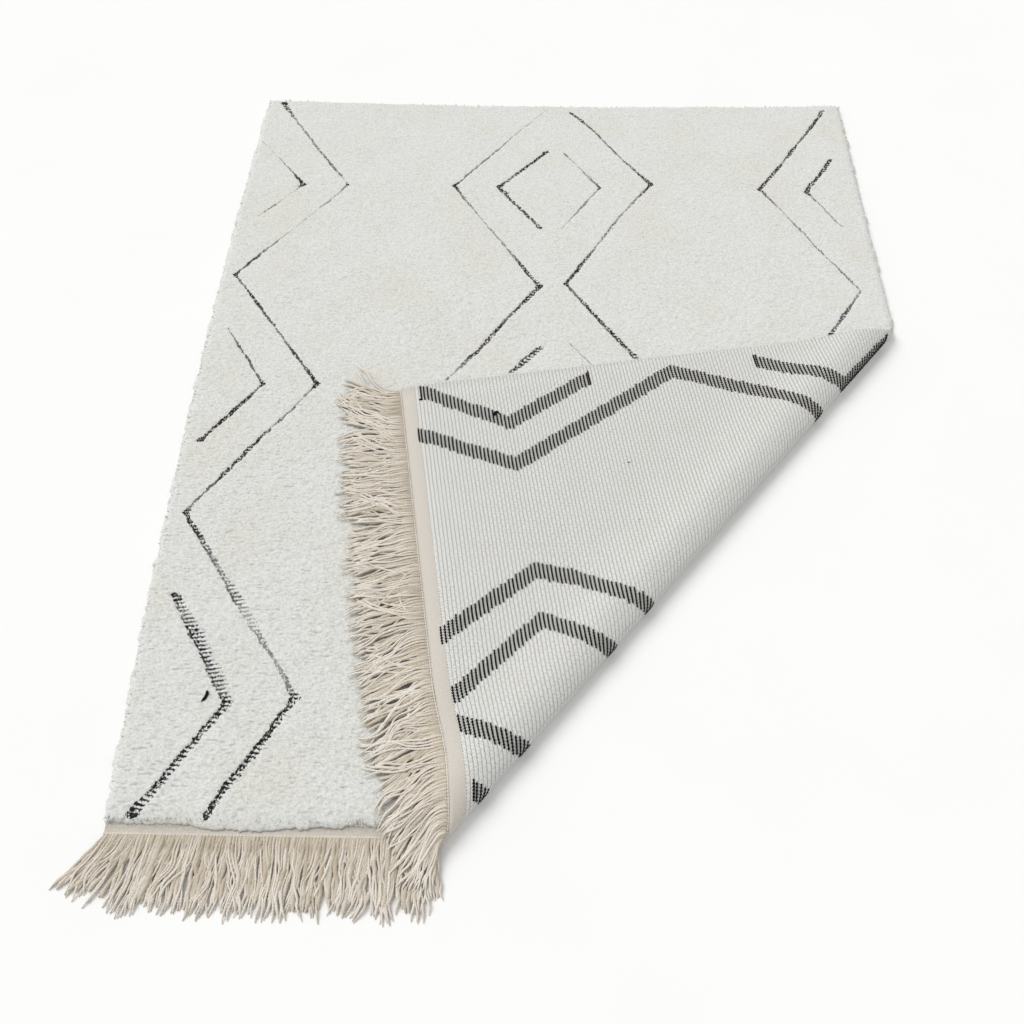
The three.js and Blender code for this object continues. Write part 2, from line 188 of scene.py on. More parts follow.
@dataclass
class CornerFold:
    """Turned back corner: maps flat coordinates to the place where the cloth lies."""

    rug: FlatRug
    crease_start: tuple[float, float] = (0.610, 0.0)
    crease_end: tuple[float, float] = (1.600, 1.164)
    neutral: float = 0.003
    back_height: float = 0.040
    nose_radius: float = 0.020
    nose_turn: float = math.radians(141.4)
    crown_radius: float = 0.071
    return_radius: float = 0.354
    left_bow: float = 0.022
    far_hollow: float = 0.016
    near_tuck: float = 0.012
    tuck_centre: float = 0.740
    tuck_half_width: float = 0.170
    edge_reach: float = 0.500
    droop_depth: float = 0.060
    droop_drop: float = 0.010
    droop_ramp: float = 0.110
    flap_wave: float = 0.330
    flap_rise: float = 0.0012

    def __post_init__(self) -> None:
        """Works out the crease's direction and the section of the fold."""
        start, end = np.array(self.crease_start), np.array(self.crease_end)
        self.along = (end - start) / np.linalg.norm(end - start)
        self.out = np.array([self.along[1], -self.along[0]])
        crown_top = self.nose_radius * (1 - math.cos(self.nose_turn))
        crown_top += self.crown_radius * (1 + math.cos(self.nose_turn))
        flap_height = self.back_height - 2 * self.neutral
        overturn = math.acos(1 - (crown_top - flap_height) / (self.crown_radius + self.return_radius))
        self.arcs = (
            FoldArc(self.nose_radius, 0.0, self.nose_turn),
            FoldArc(self.crown_radius, self.nose_turn, math.pi + overturn),
            FoldArc(-self.return_radius, math.pi + overturn, math.pi),
        )
        self.fold_length = sum(arc.length for arc in self.arcs)
        self.fold_run = sum(arc.run(arc.end) for arc in self.arcs)
        self.fold_rise = sum(arc.rise(arc.end) for arc in self.arcs)
        self.mirror_offset = (self.fold_length + self.fold_run) / 2

    def settle(self, u: np.ndarray, v: np.ndarray) -> tuple[np.ndarray, np.ndarray]:
        """Draws the flat rectangle to the uneven outline that the weaving took."""
        far_share = np.clip((v - self.rug.length + self.edge_reach) / self.edge_reach, 0, 1)
        v_share, u_share = np.clip(v / self.rug.length, 0, 1), u / self.rug.width
        left = self.left_bow * 4 * v_share * (1 - v_share) * np.clip(1 - u / self.edge_reach, 0, 1)
        far = self.far_hollow * 4 * u_share * (1 - u_share) * far_share
        tuck = smooth(1 - np.abs(u - self.tuck_centre) / self.tuck_half_width)
        tuck = self.near_tuck * tuck * np.clip(1 - v / self.edge_reach, 0, 1)
        return u - left, v - far + tuck

    def distance(self, u: np.ndarray, v: np.ndarray) -> np.ndarray:
        """Cloth distance past the start of the bend, across the crease."""
        from_start = (u - self.crease_start[0]) * self.out[0] + (v - self.crease_start[1]) * self.out[1]
        return from_start + self.mirror_offset

    def u_at(self, distance: float, v: np.ndarray) -> np.ndarray:
        """Place across the rug, on row v, that lies a distance past the start of the bend."""
        inward = distance - self.mirror_offset - (v - self.crease_start[1]) * self.out[1]
        return self.crease_start[0] + inward / self.out[0]

    def section(self, distance: np.ndarray) -> tuple[np.ndarray, np.ndarray, np.ndarray]:
        """Neutral line of the fold.

        Args:
            distance: Cloth distance past the start of the bend.

        Returns:
            How far the cloth has run outward, how high it has come and its turn.
        """
        run, rise, turn = distance.copy(), np.zeros_like(distance), np.zeros_like(distance)
        passed, run_sum, rise_sum = 0.0, 0.0, 0.0
        for arc in self.arcs:
            inside = distance > passed
            at = arc.start + (distance[inside] - passed) / arc.radius
            run[inside] = run_sum + arc.run(at)
            rise[inside] = rise_sum + arc.rise(at)
            turn[inside] = at
            passed += arc.length
            run_sum += arc.run(arc.end)
            rise_sum += arc.rise(arc.end)
        flap = distance > passed
        run[flap] = run_sum - (distance[flap] - passed)
        rise[flap] = rise_sum
        turn[flap] = math.pi
        return run, rise, turn

    def place(self, flat_u: np.ndarray, flat_v: np.ndarray, h: np.ndarray | float) -> np.ndarray:
        """Folded places of flat coordinates.

        Args:
            flat_u: Distance across from the left selvedge.
            flat_v: Distance along from the near edge of the weave.
            h: Height through the thickness, from the woven back.

        Returns:
            One row of x, y and z for each place.
        """
        flat_u, flat_v, h = (np.atleast_1d(np.asarray(a, float)) for a in (flat_u, flat_v, h))
        u, v = self.settle(flat_u, flat_v)
        distance = self.distance(u, v)
        du, dv = u - self.crease_start[0], v - self.crease_start[1]
        along = du * self.along[0] + dv * self.along[1]
        run, rise, turn = self.section(distance)
        depth = h - self.neutral
        outward = run - self.mirror_offset - np.sin(turn) * depth
        on_flap = smooth((distance - self.fold_length) / self.droop_ramp)
        droop = self.droop_drop * np.clip(1 - flat_v / self.droop_depth, 0, 1) ** 2 * on_flap
        wave = self.flap_rise * soft_noise(u / self.flap_wave, v / self.flap_wave) * on_flap
        x = self.crease_start[0] + self.out[0] * outward + self.along[0] * along - self.rug.width / 2
        y = self.crease_start[1] + self.out[1] * outward + self.along[1] * along - self.rug.length / 2
        z = rise + self.neutral + np.cos(turn) * depth - droop + wave
        return np.stack([x, y, z], axis=-1)

    def mirrored(self, u: float, v: float) -> tuple[float, float]:
        """Flat place of the rug that a flat place of the corner is turned back onto."""
        outward = (u - self.crease_start[0]) * self.out[0] + (v - self.crease_start[1]) * self.out[1]
        return u - 2 * outward * self.out[0], v - 2 * outward * self.out[1]


@dataclass(frozen=True)
class Turn:
    """Turning point of a pattern line in flat coordinates, with how it shows in the pile.

    The ink is the share of dark fibres, and the clump how far its rows close up into one dark spot.
    """

    u: float
    v: float
    width: float = 0.005
    ink: float = 0.75
    clump: float = 0.0


@dataclass(frozen=True)
class PatternLine:
    """One charcoal line of the diamond lattice, from its far end to its near end."""

    turns: tuple[Turn, ...]

    def at(self, v: np.ndarray, value: str) -> np.ndarray:
        """A field of the line's turns, worked out at places along the rug."""
        order = self.turns[::-1]
        return np.interp(v, [t.v for t in order], [getattr(t, value) for t in order])

    def clump(self, v: np.ndarray, reach: float) -> np.ndarray:
        """How far the rows close up into dark spots at places along the rug."""
        return sum(turn.clump * np.exp(-((v - turn.v) / reach) ** 2) for turn in self.turns)

    @property
    def near(self) -> float:
        """Nearest place that the line reaches along the rug."""
        return self.turns[-1].v

    @property
    def far(self) -> float:
        """Furthest place that the line reaches along the rug."""
        return self.turns[0].v


def pattern_line(*turns: Numbers) -> PatternLine:
    """A line through turns, each given by its place across and along, its width, ink and clump."""
    return PatternLine(tuple(Turn(*turn) for turn in turns))


@dataclass
class DiamondLattice:
    """The traditional lattice of broken diamonds, knotted in charcoal on the cream ground."""

    rug: FlatRug
    lines: tuple[PatternLine, ...] = (
        pattern_line(
            (0.041, 2.002, 0.015, 1.0, 1.0), (0.060, 1.974, 0.011, 0.8), (0.095, 1.920, 0.007, 0.5),
            (0.261, 1.667, 0.007, 0.6, 0.5), (0.220, 1.600, 0.006, 0.3), (0.100, 1.435, 0.007, 0.7),
            (0.031, 1.337, 0.008, 0.8, 0.8), (0.268, 1.002, 0.008, 0.8, 0.7), (0.040, 0.658, 0.008, 0.7, 0.3),
            (0.102, 0.566, 0.011, 0.7), (0.151, 0.494, 0.016, 0.7), (0.198, 0.424, 0.022, 0.6),
            (0.243, 0.357, 0.013, 0.7), (0.270, 0.317, 0.012, 0.6), (0.308, 0.260, 0.014, 0.7, 0.5),
            (0.292, 0.233, 0.013, 0.9), (0.196, 0.071, 0.012, 0.9), (0.178, 0.041, 0.015, 1.0, 0.7),
        ),
        pattern_line(
            (0.010, 1.836, 0.005, 0.2), (0.098, 1.730, 0.006, 0.7), (0.148, 1.666, 0.009, 1.0, 0.6),
            (0.130, 1.643, 0.005, 0.2), (0.051, 1.539, 0.006, 0.4),
        ),
        pattern_line(
            (0.043, 1.167, 0.006, 0.6), (0.150, 1.000, 0.007, 0.8, 0.5), (0.038, 0.838, 0.010, 0.9, 0.8),
        ),
        pattern_line(
            (0.048, 0.471, 0.014, 0.9, 0.6), (0.075, 0.428, 0.022, 0.9), (0.110, 0.372, 0.027, 1.0),
            (0.168, 0.281, 0.026, 1.0), (0.188, 0.249, 0.019, 1.0, 0.6), (0.178, 0.234, 0.014, 1.0),
            (0.110, 0.134, 0.016, 1.0), (0.068, 0.073, 0.016, 1.0), (0.045, 0.039, 0.024, 1.0, 0.6),
        ),
        pattern_line(
            (0.783, 1.995, 0.006, 0.3), (0.650, 1.820, 0.006, 0.4), (0.535, 1.669, 0.008, 0.8, 0.7),
            (0.670, 1.452, 0.007, 0.5), (0.763, 1.311, 0.011, 0.9, 0.8), (0.540, 1.000, 0.008, 0.7, 0.6),
            (0.763, 0.640), (0.560, 0.240), (0.686, 0.044),
        ),
        pattern_line(
            (0.848, 1.985, 0.010, 0.9, 0.3), (0.895, 1.925, 0.010, 0.9), (0.940, 1.850, 0.006, 0.5),
            (1.052, 1.682, 0.009, 0.9, 0.6), (0.990, 1.590, 0.006, 0.5), (0.880, 1.410, 0.008, 0.8),
            (0.824, 1.320, 0.010, 0.9, 0.6), (0.983, 1.091, 0.012, 0.9), (1.053, 0.990), (0.824, 0.680),
            (0.994, 0.434), (1.075, 0.301), (1.103, 0.225), (0.990, 0.026),
        ),
        pattern_line(
            (0.781, 1.813, 0.010, 0.8, 0.4), (0.654, 1.668, 0.010, 0.8, 0.7), (0.762, 1.509, 0.010, 0.9, 0.6),
        ),
        pattern_line((0.824, 1.809, 0.006, 0.5), (0.920, 1.668, 0.006, 0.5, 0.3), (0.816, 1.506, 0.005, 0.3)),
        pattern_line((0.765, 1.119, 0.018, 1.0, 0.4), (0.660, 1.000, 0.014, 0.9, 0.5), (0.762, 0.850)),
        pattern_line((0.826, 1.136, 0.004, 0.3), (0.930, 1.000, 0.004, 0.3), (0.827, 0.860)),
        pattern_line((0.800, 0.400), (0.690, 0.225), (0.756, 0.132), (0.814, 0.031)),
        pattern_line((0.868, 0.416), (0.995, 0.223), (0.867, 0.033)),
        pattern_line(
            (1.550, 1.989, 0.010, 0.8, 0.5), (1.500, 1.900, 0.008, 0.8), (1.339, 1.665, 0.011, 0.9, 0.5),
            (1.370, 1.610, 0.006, 0.4), (1.540, 1.308, 0.007, 0.6), (1.461, 1.189, 0.010, 0.8),
            (1.333, 0.995), (1.463, 0.812), (1.557, 0.609), (1.358, 0.226), (1.466, 0.028),
        ),
        pattern_line(
            (1.546, 1.784, 0.012, 0.9, 0.4), (1.459, 1.658, 0.010, 0.8, 0.6), (1.475, 1.630, 0.006, 0.5),
            (1.534, 1.524, 0.005, 0.3),
        ),
        pattern_line((1.575, 1.135), (1.463, 0.991), (1.503, 0.916), (1.558, 0.805)),
        pattern_line((1.566, 0.422), (1.468, 0.226), (1.582, 0.043)),
    )
    line_reach: float = 0.060
    line_jitter: float = 0.0018
    jitter_wave: float = 0.010
    line_wander: float = 0.0036
    wander_wave: float = 0.085
    patch_wave: float = 0.042
    swell_wave: float = 0.011
    swells: tuple[float, float, float] = (0.18, 0.32, 0.35)
    widest_swell: float = 0.009
    uneven_ink: float = 0.30
    line_blur: float = 0.0010
    line_fade: float = 0.10
    slope_step: float = 0.010
    hatch_slope: float = 0.22
    clump_reach: float = 0.008
    clump_width: float = 0.004
    beside: float = 0.006
    unmarked: tuple[float, float, float] = (0.060, -0.050, 0.0)

    def knot_row(self, v: np.ndarray) -> np.ndarray:
        """Number of the row of knots at places along the rug."""
        return np.floor((v - self.rug.band) / self.rug.knot_row)

    def row_centre(self, row: np.ndarray) -> np.ndarray:
        """Place along the rug of the middle of a row of knots."""
        return self.rug.band + (row + 0.5) * self.rug.knot_row

    def rows_of(self, line: PatternLine) -> np.ndarray:
        """Rows of knots that a line crosses."""
        return np.arange(self.knot_row(np.array(line.near)), self.knot_row(np.array(line.far)) + 1)

    def course(self, number: int, v: np.ndarray) -> tuple[np.ndarray, np.ndarray, np.ndarray]:
        """Middle, width and ink of a line as the hand knotted it: it wanders, swells and pales."""
        line = self.lines[number]
        centre, width, ink = (line.at(v, value) for value in ("u", "width", "ink"))
        centre = centre + self.line_wander * soft_noise(v / self.wander_wave, number * 2.3)
        centre = centre + self.line_jitter * soft_noise(v / self.jitter_wave, number * 7.7)
        patch = soft_noise(v / self.patch_wave + number * 5.3, number * 1.9)
        mean, slow, quick = self.swells
        swell = mean + slow * patch + quick * soft_noise(v / self.swell_wave + 5.1, number * 3.3)
        width = width + self.line_blur
        width = width + np.minimum(width, self.widest_swell) * swell
        return centre, width, ink + self.uneven_ink * patch - self.line_fade

    def dye(self, u: np.ndarray, v: np.ndarray) -> tuple[np.ndarray, np.ndarray]:
        """Charcoal wool of the pile at flat places.

        Args:
            u: Distance across from the left selvedge.
            v: Distance along from the near edge.

        Returns:
            For each place one row of the distance to the right of the nearest line's middle, half the
            line's width and the number of the row of knots along its strokes; and the line's ink.
        """
        marks, inks = np.tile(self.unmarked, (len(u), 1)), np.zeros_like(u)
        depth = np.full_like(u, -self.beside)
        for number, line in enumerate(self.lines):
            near = (v > line.near - self.rug.knot_row) & (v < line.far + self.rug.knot_row)
            some = np.flatnonzero(near & (np.abs(u - line.at(v, "u")) < self.line_reach))
            if not some.size:
                continue
            at_u, at_v = u[some], v[some]
            centre, width, ink = self.course(number, at_v)
            step = self.slope_step
            slope = (line.at(at_v + step, "u") - line.at(at_v - step, "u")) / (2 * step)
            clump = line.clump(at_v, self.clump_reach)
            half = width / 2 + self.clump_width * clump
            past_end = np.maximum(line.near - at_v, at_v - line.far)
            half = half - 2 * np.clip(past_end + self.rug.knot_row / 4, 0, None)
            offset = at_u - centre
            inside = half - np.abs(offset)
            better = inside > depth[some]
            chosen = some[better]
            row = (at_v + self.hatch_slope * slope * offset - self.rug.band) / self.rug.knot_row
            depth[chosen] = inside[better]
            marks[chosen] = np.stack([offset, half, row], axis=1)[better]
            inks[chosen] = (ink + clump)[better]
        return marks, inks

    def knots(self, spacing: float) -> dict[str, np.ndarray]:
        """Places of the charcoal tufts that stand along the lines.

        Args:
            spacing: Distance between tufts across the rug.

        Returns:
            Flat places u and v, and the ink at each.
        """
        columns: dict[str, list[np.ndarray]] = {"u": [], "v": [], "ink": []}
        for number, line in enumerate(self.lines):
            for row in self.rows_of(line):
                v = np.clip(self.row_centre(row), line.near, line.far)
                centre, width, ink = (float(value) for value in self.course(number, v))
                count = max(1, round(width / spacing))
                step = np.arange(count) - (count - 1) / 2
                columns["u"].append(centre + step * spacing)
                columns["v"].append(np.full(count, v))
                columns["ink"].append(np.full(count, ink))
        return {name: np.concatenate(parts) for name, parts in columns.items()}


@dataclass
class MeshDraft:
    """Points and faces gathered before they become one mesh."""

    points: list[np.ndarray] = field(default_factory=list)
    corners: list[np.ndarray] = field(default_factory=list)
    sizes: list[np.ndarray] = field(default_factory=list)
    smooths: list[np.ndarray] = field(default_factory=list)
    slots: list[np.ndarray] = field(default_factory=list)
    count: int = 0

    def add_points(self, points: np.ndarray) -> int:
        """Adds points and returns the number of the first."""
        first = self.count
        self.points.append(points)
        self.count += len(points)
        return first

    def add_faces(self, faces: np.ndarray, soft: bool = True, slot: int = 0) -> None:
        """Adds faces of one size and leaves out or cuts down those with repeated corners.

        Args:
            faces: One row of corner numbers for each face.
            soft: Whether the faces are shaded smoothly.
            slot: Number of the faces' material slot.
        """
        repeated = faces == np.roll(faces, -1, axis=1)
        whole = faces[~repeated.any(axis=1)]
        self._store(whole.ravel(), np.full(len(whole), faces.shape[1]), soft, slot)
        for face, twice in zip(faces[repeated.any(axis=1)], repeated[repeated.any(axis=1)]):
            kept = face[~twice]
            if len(set(kept.tolist())) == len(kept) >= 3:
                self._store(kept, np.array([len(kept)]), soft, slot)

    def _store(self, corners: np.ndarray, sizes: np.ndarray, soft: bool, slot: int) -> None:
        """Keeps faces that are ready."""
        self.corners.append(corners)
        self.sizes.append(sizes)
        self.smooths.append(np.full(len(sizes), soft))
        self.slots.append(np.full(len(sizes), slot, np.int32))

    def to_object(self, name: str, attributes: dict[str, np.ndarray], *materials: Material) -> Object:
        """Makes the mesh object.

        Args:
            name: Name of the piece.
            attributes: Point attributes by name, one number or one row of three for each point.
            *materials: Materials of the piece's slots.

        Returns:
            The object, linked to the scene.
        """
        points, corners = np.concatenate(self.points), np.concatenate(self.corners)
        sizes = np.concatenate(self.sizes)
        mesh = bpy.data.meshes.new(name)
        mesh.vertices.add(len(points))
        mesh.vertices.foreach_set("co", points.astype(np.float32).ravel())
        mesh.loops.add(len(corners))
        mesh.loops.foreach_set("vertex_index", corners.astype(np.int32))
        mesh.polygons.add(len(sizes))
        starts = np.concatenate([[0], np.cumsum(sizes)[:-1]])
        mesh.polygons.foreach_set("loop_start", starts.astype(np.int32))
        mesh.polygons.foreach_set("use_smooth", np.concatenate(self.smooths))
        mesh.polygons.foreach_set("material_index", np.concatenate(self.slots))
        for title, values in attributes.items():
            store_attribute(mesh, title, values)
        mesh.update(calc_edges=True)
        for material in materials:
            mesh.materials.append(material)
        return link_piece(name, mesh)


def store_attribute(mesh: Mesh, title: str, values: np.ndarray) -> None:
    """Stores a number or a vector on each point of a mesh."""
    if values.ndim == 2:
        layer = mesh.attributes.new(title, "FLOAT_VECTOR", "POINT")
        layer.data.foreach_set("vector", values.astype(np.float32).ravel())
    else:
        layer = mesh.attributes.new(title, "FLOAT", "POINT")
        layer.data.foreach_set("value", values.astype(np.float32))


def link_piece(name: str, mesh: Mesh) -> Object:
    """Links a mesh to the scene as an object at the origin."""
    piece = bpy.data.objects.new(name, mesh)
    bpy.context.scene.collection.objects.link(piece)
    return piece


def number_places(u: np.ndarray) -> np.ndarray:
    """Numbers a grid of places row by row; a place that repeats its left neighbour shares its number."""
    steps = np.diff(u, axis=1, prepend=-np.inf)
    return (np.cumsum((steps > SAME_PLACE).ravel()) - 1).reshape(u.shape)


def grid_faces(number: np.ndarray, flip: bool = False) -> np.ndarray:
    """Four sided faces of a numbered grid, facing up unless flipped."""
    faces = np.stack([number[:-1, :-1], number[:-1, 1:], number[1:, 1:], number[1:, :-1]], axis=-1)
    faces = faces.reshape(-1, 4)
    return faces[:, ::-1] if flip else faces


def strip_faces(lower: np.ndarray, upper: np.ndarray) -> np.ndarray:
    """Four sided faces between two rows of numbers."""
    return np.stack([lower[:-1], lower[1:], upper[1:], upper[:-1]], axis=1)


def first_places(number: np.ndarray) -> np.ndarray:
    """Grid positions at which each number first occurs, in the order of the numbers."""
    return np.unique(number.ravel(), return_index=True)[1]


class NodeSums:
    """Arithmetic in a node tree; each step gives the new node's output."""

    tree: NodeTree

    def math(self, operation: str, *values: Any, clamp: bool = False) -> NodeSocket:
        """Result of one step of arithmetic."""
        inputs = dict(enumerate(values))
        return add_node(self.tree, "ShaderNodeMath", inputs, operation=operation, use_clamp=clamp).outputs[0]

    def plus(self, first: Any, second: Any) -> NodeSocket:
        """Sum of two values."""
        return self.math("ADD", first, second)

    def less(self, first: Any, second: Any) -> NodeSocket:
        """First value less the second."""
        return self.math("SUBTRACT", first, second)

    def times(self, first: Any, second: Any) -> NodeSocket:
        """Product of two values."""
        return self.math("MULTIPLY", first, second)

    def parts(self, vector: NodeSocket) -> list[NodeSocket]:
        """The three parts of a vector."""
        return list(add_node(self.tree, "ShaderNodeSeparateXYZ", {0: vector}).outputs)


class SurfaceNodes(NodeSums):
    """Matt surface in the making, with short ways to add its nodes."""

    def __init__(self, name: str, roughness: float, sheen: float) -> None:
        """Starts the material.

        Args:
            name: Name of the material.
            roughness: Roughness of the surface.
            sheen: Weight of the sheen of loose fibres.
        """
        self.material = bpy.data.materials.new(name)
        self.material.use_nodes = True
        self.tree = self.material.node_tree
        self.shader = self.tree.nodes["Principled BSDF"]
        self.shader.inputs["Roughness"].default_value = roughness
        self.shader.inputs["Sheen Weight"].default_value = sheen
        self.shader.inputs["Specular IOR Level"].default_value = MATT_SPECULAR

    def place(self) -> NodeSocket:
        """Place on the object, in metres."""
        return add_node(self.tree, "ShaderNodeTexCoord").outputs["Object"]

    def attribute(self, title: str, output: str = "Fac") -> NodeSocket:
        """Value stored on the mesh."""
        return add_node(self.tree, "ShaderNodeAttribute", attribute_name=title).outputs[output]

    def stretched(self, vector: Any, scale: tuple[float, float, float], turn: float = 0.0) -> NodeSocket:
        """A place turned about the vertical and scaled."""
        return add_node(self.tree, "ShaderNodeMapping", {
            "Vector": vector, "Rotation": (0.0, 0.0, turn), "Scale": scale,
        }).outputs[0]

    def noise(self, vector: Any, size: float, detail: float = 3.0, distortion: float = 0.0) -> NodeSocket:
        """Soft noise with lumps of a size in metres."""
        return add_node(self.tree, "ShaderNodeTexNoise", {
            "Vector": vector, "Scale": 1 / size, "Detail": detail, "Distortion": distortion,
        }).outputs["Fac"]

    def levels(
        self, value: Any, low: float = 0.0, high: float = 1.0, start: float = 0.0, end: float = 1.0,
    ) -> NodeSocket:
        """A value's way from low to high, drawn from start to end and held there."""
        return add_node(self.tree, "ShaderNodeMapRange", {
            "Value": value, "From Min": low, "From Max": high, "To Min": start, "To Max": end,
        }).outputs["Result"]

    def wave(self, cycles: Any, low: float, high: float) -> NodeSocket:
        """A cosine wave that peaks at whole cycles, drawn from 0 to 1 between two of its levels."""
        return self.levels(self.math("COSINE", self.times(cycles, 2 * math.pi)), low, high)

    def blend(self, share: Any, first: Any, second: Any) -> NodeSocket:
        """Mix of two colours, each a hex value or a socket."""
        first, second = (linear_colour(part) if isinstance(part, str) else part for part in (first, second))
        inputs = {0: share, 6: first, 7: second}
        return add_node(self.tree, "ShaderNodeMix", inputs, data_type="RGBA").outputs[2]

    def close(self, colour: Any, height: Any, depth: float, strength: float) -> Material:
        """Ends the material.

        Args:
            colour: Socket of the colour.
            height: Socket of the relief, from 0 to 1.
            depth: Depth of the relief in metres.
            strength: Share of the relief that shows.

        Returns:
            The material.
        """
        relief = {"Height": height, "Distance": depth, "Strength": strength}
        bump = add_node(self.tree, "ShaderNodeBump", relief)
        self.tree.links.new(colour, self.shader.inputs["Base Color"])
        self.tree.links.new(bump.outputs["Normal"], self.shader.inputs["Normal"])
        return self.material


@dataclass(frozen=True)
class WoolPileFinish:
    """Cut pile of hand spun sheep's wool: matt and soft, with a faint sheen where fibre ends show.

    Fields that end in levels tell how a value is drawn: from low to high, to start to end.
    """

    cream: str = "#E2E3E0"
    warm: str = "#E0DFD7"
    # Colour of the painted shade in hollows between tufts and at the rim's foot.
    painted_hollow_shade: str = "#A8A69E"
    charcoal: str = "#1E1D1E"
    roughness: float = 0.95
    sheen: float = 0.2
    patch_size: float = 0.160
    patch_levels: Numbers = (0.45, 0.70)
    tuft_size: float = 0.0045
    tuft_levels: Numbers = (0.58, 0.30, 0.0, 0.36)
    comb_turn: float = 0.25
    comb_stretch: Numbers = (0.40, 1.0, 0.6)
    strand_size: float = 0.0060
    strand_warp: float = 0.7
    strand_levels: Numbers = (0.040, 0.0, 0.0, 0.34)
    fibre_size: float = 0.0016
    bump_height: float = 0.0009
    bump_strength: float = 0.8
    hair_stretch: Numbers = (1.3, 0.8, 0.5)
    hair_size: float = 0.0024
    hair_levels: Numbers = (0.3, 0.7, -0.85, 0.85)
    clot_size: float = 0.0070
    clot_levels: Numbers = (0.3, 0.7, -0.6, 0.6)
    row_shift_levels: Numbers = (0.2, 0.8, -0.25, 0.25)
    hatched_levels: Numbers = (0.0050, 0.0105)
    core_levels: Numbers = (0.0060, 0.0080, 0.35, 1.0)
    parted_levels: Numbers = (1.0, 1.6, 1.0, 0.0)
    knot_width: float = 0.0062
    knot_share: float = 0.30
    hatch_spread: float = 0.90
    edge_fade: float = 0.0026
    fullest: float = 1.1
    stroke_levels: Numbers = (0.0, 1.0, 0.0, 0.45)
    thinned_levels: Numbers = (0.001, 0.010, 0.0, -0.55)
    faint_levels: Numbers = (0.0, 1.0, -0.35, 0.0)
    narrow_levels: Numbers = (0.002, 0.008, 0.68, 1.0)
    beside_levels: Numbers = (-0.0050, -0.0035)
    beside_ink_levels: Numbers = (0.1, 0.8, 0.40, 1.0)
    total_levels: Numbers = (0.32, 0.72)

    def build(self) -> Material:
        """Makes the material; it reads the attributes dye and ink, and the attribute of painted shade in
        hollows and at the rim's foot.

        The parts of dye are the distance to the right of a charcoal line's middle, half the line's
        width and the number of the row of knots. Wide lines show as one stroke for each row, joined
        along their left side; the ink is the share of dark fibres.
        """
        nodes = SurfaceNodes("cut_wool_pile", self.roughness, self.sheen)
        place = nodes.place()
        warmth = nodes.levels(nodes.noise(place, self.patch_size), *self.patch_levels)
        cream = nodes.blend(warmth, self.cream, self.warm)
        spread = nodes.levels(nodes.noise(place, self.tuft_size), *self.tuft_levels)
        combed = nodes.stretched(place, self.comb_stretch, self.comb_turn)
        strands = nodes.noise(combed, self.strand_size, 2.0, self.strand_warp)
        from_gap = nodes.math("ABSOLUTE", nodes.less(strands, 0.5))
        gaps = nodes.levels(from_gap, *self.strand_levels)
        # Painted shade: the wool darkens to the hollow colour in hollows between tufts, at the rim's foot,
        # where the tuft noise is low and in the gaps between combed strands.
        depth = nodes.math("ADD", nodes.attribute("painted_hollow_shade"), nodes.plus(spread, gaps), clamp=True)
        shaded = nodes.blend(depth, cream, self.painted_hollow_shade)
        wool = nodes.blend(self._dyed(nodes, place), shaded, self.charcoal)
        fibre = nodes.noise(place, self.fibre_size, 2.0)
        return nodes.close(wool, fibre, self.bump_height, self.bump_strength)

    def _dyed(self, nodes: SurfaceNodes, place: NodeSocket) -> NodeSocket:
        """Share of charcoal fibres, ragged at a line's edges and parted into strokes where it is wide."""
        levels, plus, less, times = nodes.levels, nodes.plus, nodes.less, nodes.times
        ink = nodes.attribute("ink")
        offset, half, row = nodes.parts(nodes.attribute("dye", "Vector"))
        combed = nodes.stretched(place, self.hair_stretch)
        hair, clots = (nodes.noise(combed, size, 2.5) for size in (self.hair_size, self.clot_size))
        ragged = plus(levels(hair, *self.hair_levels), levels(clots, *self.clot_levels))
        row = plus(row, levels(clots, *self.row_shift_levels))
        wide = levels(half, *self.hatched_levels)
        right_side = levels(plus(offset, half), *self.core_levels)
        strokes = times(times(wide, right_side), levels(ink, *self.parted_levels))
        row_wave = nodes.math("COSINE", times(row, 2 * math.pi))
        knot_wave = nodes.math("COSINE", times(offset, 2 * math.pi / self.knot_width))
        waves = plus(row_wave, times(knot_wave, self.knot_share))
        hatch = times(times(waves, strokes), -self.hatch_spread)
        far_side = less(half, nodes.math("ABSOLUTE", offset))
        inside = nodes.math("MINIMUM", times(far_side, 1 / self.edge_fade), less(self.fullest, strokes))
        inside = plus(inside, levels(strokes, *self.stroke_levels))
        thinned = times(levels(offset, *self.thinned_levels), strokes)
        faint = plus(levels(ink, *self.faint_levels), thinned)
        ragged = times(ragged, levels(half, *self.narrow_levels))
        total = plus(plus(plus(inside, ragged), hatch), faint)
        beside = times(levels(far_side, *self.beside_levels), levels(ink, *self.beside_ink_levels))
        return times(levels(total, *self.total_levels), beside)


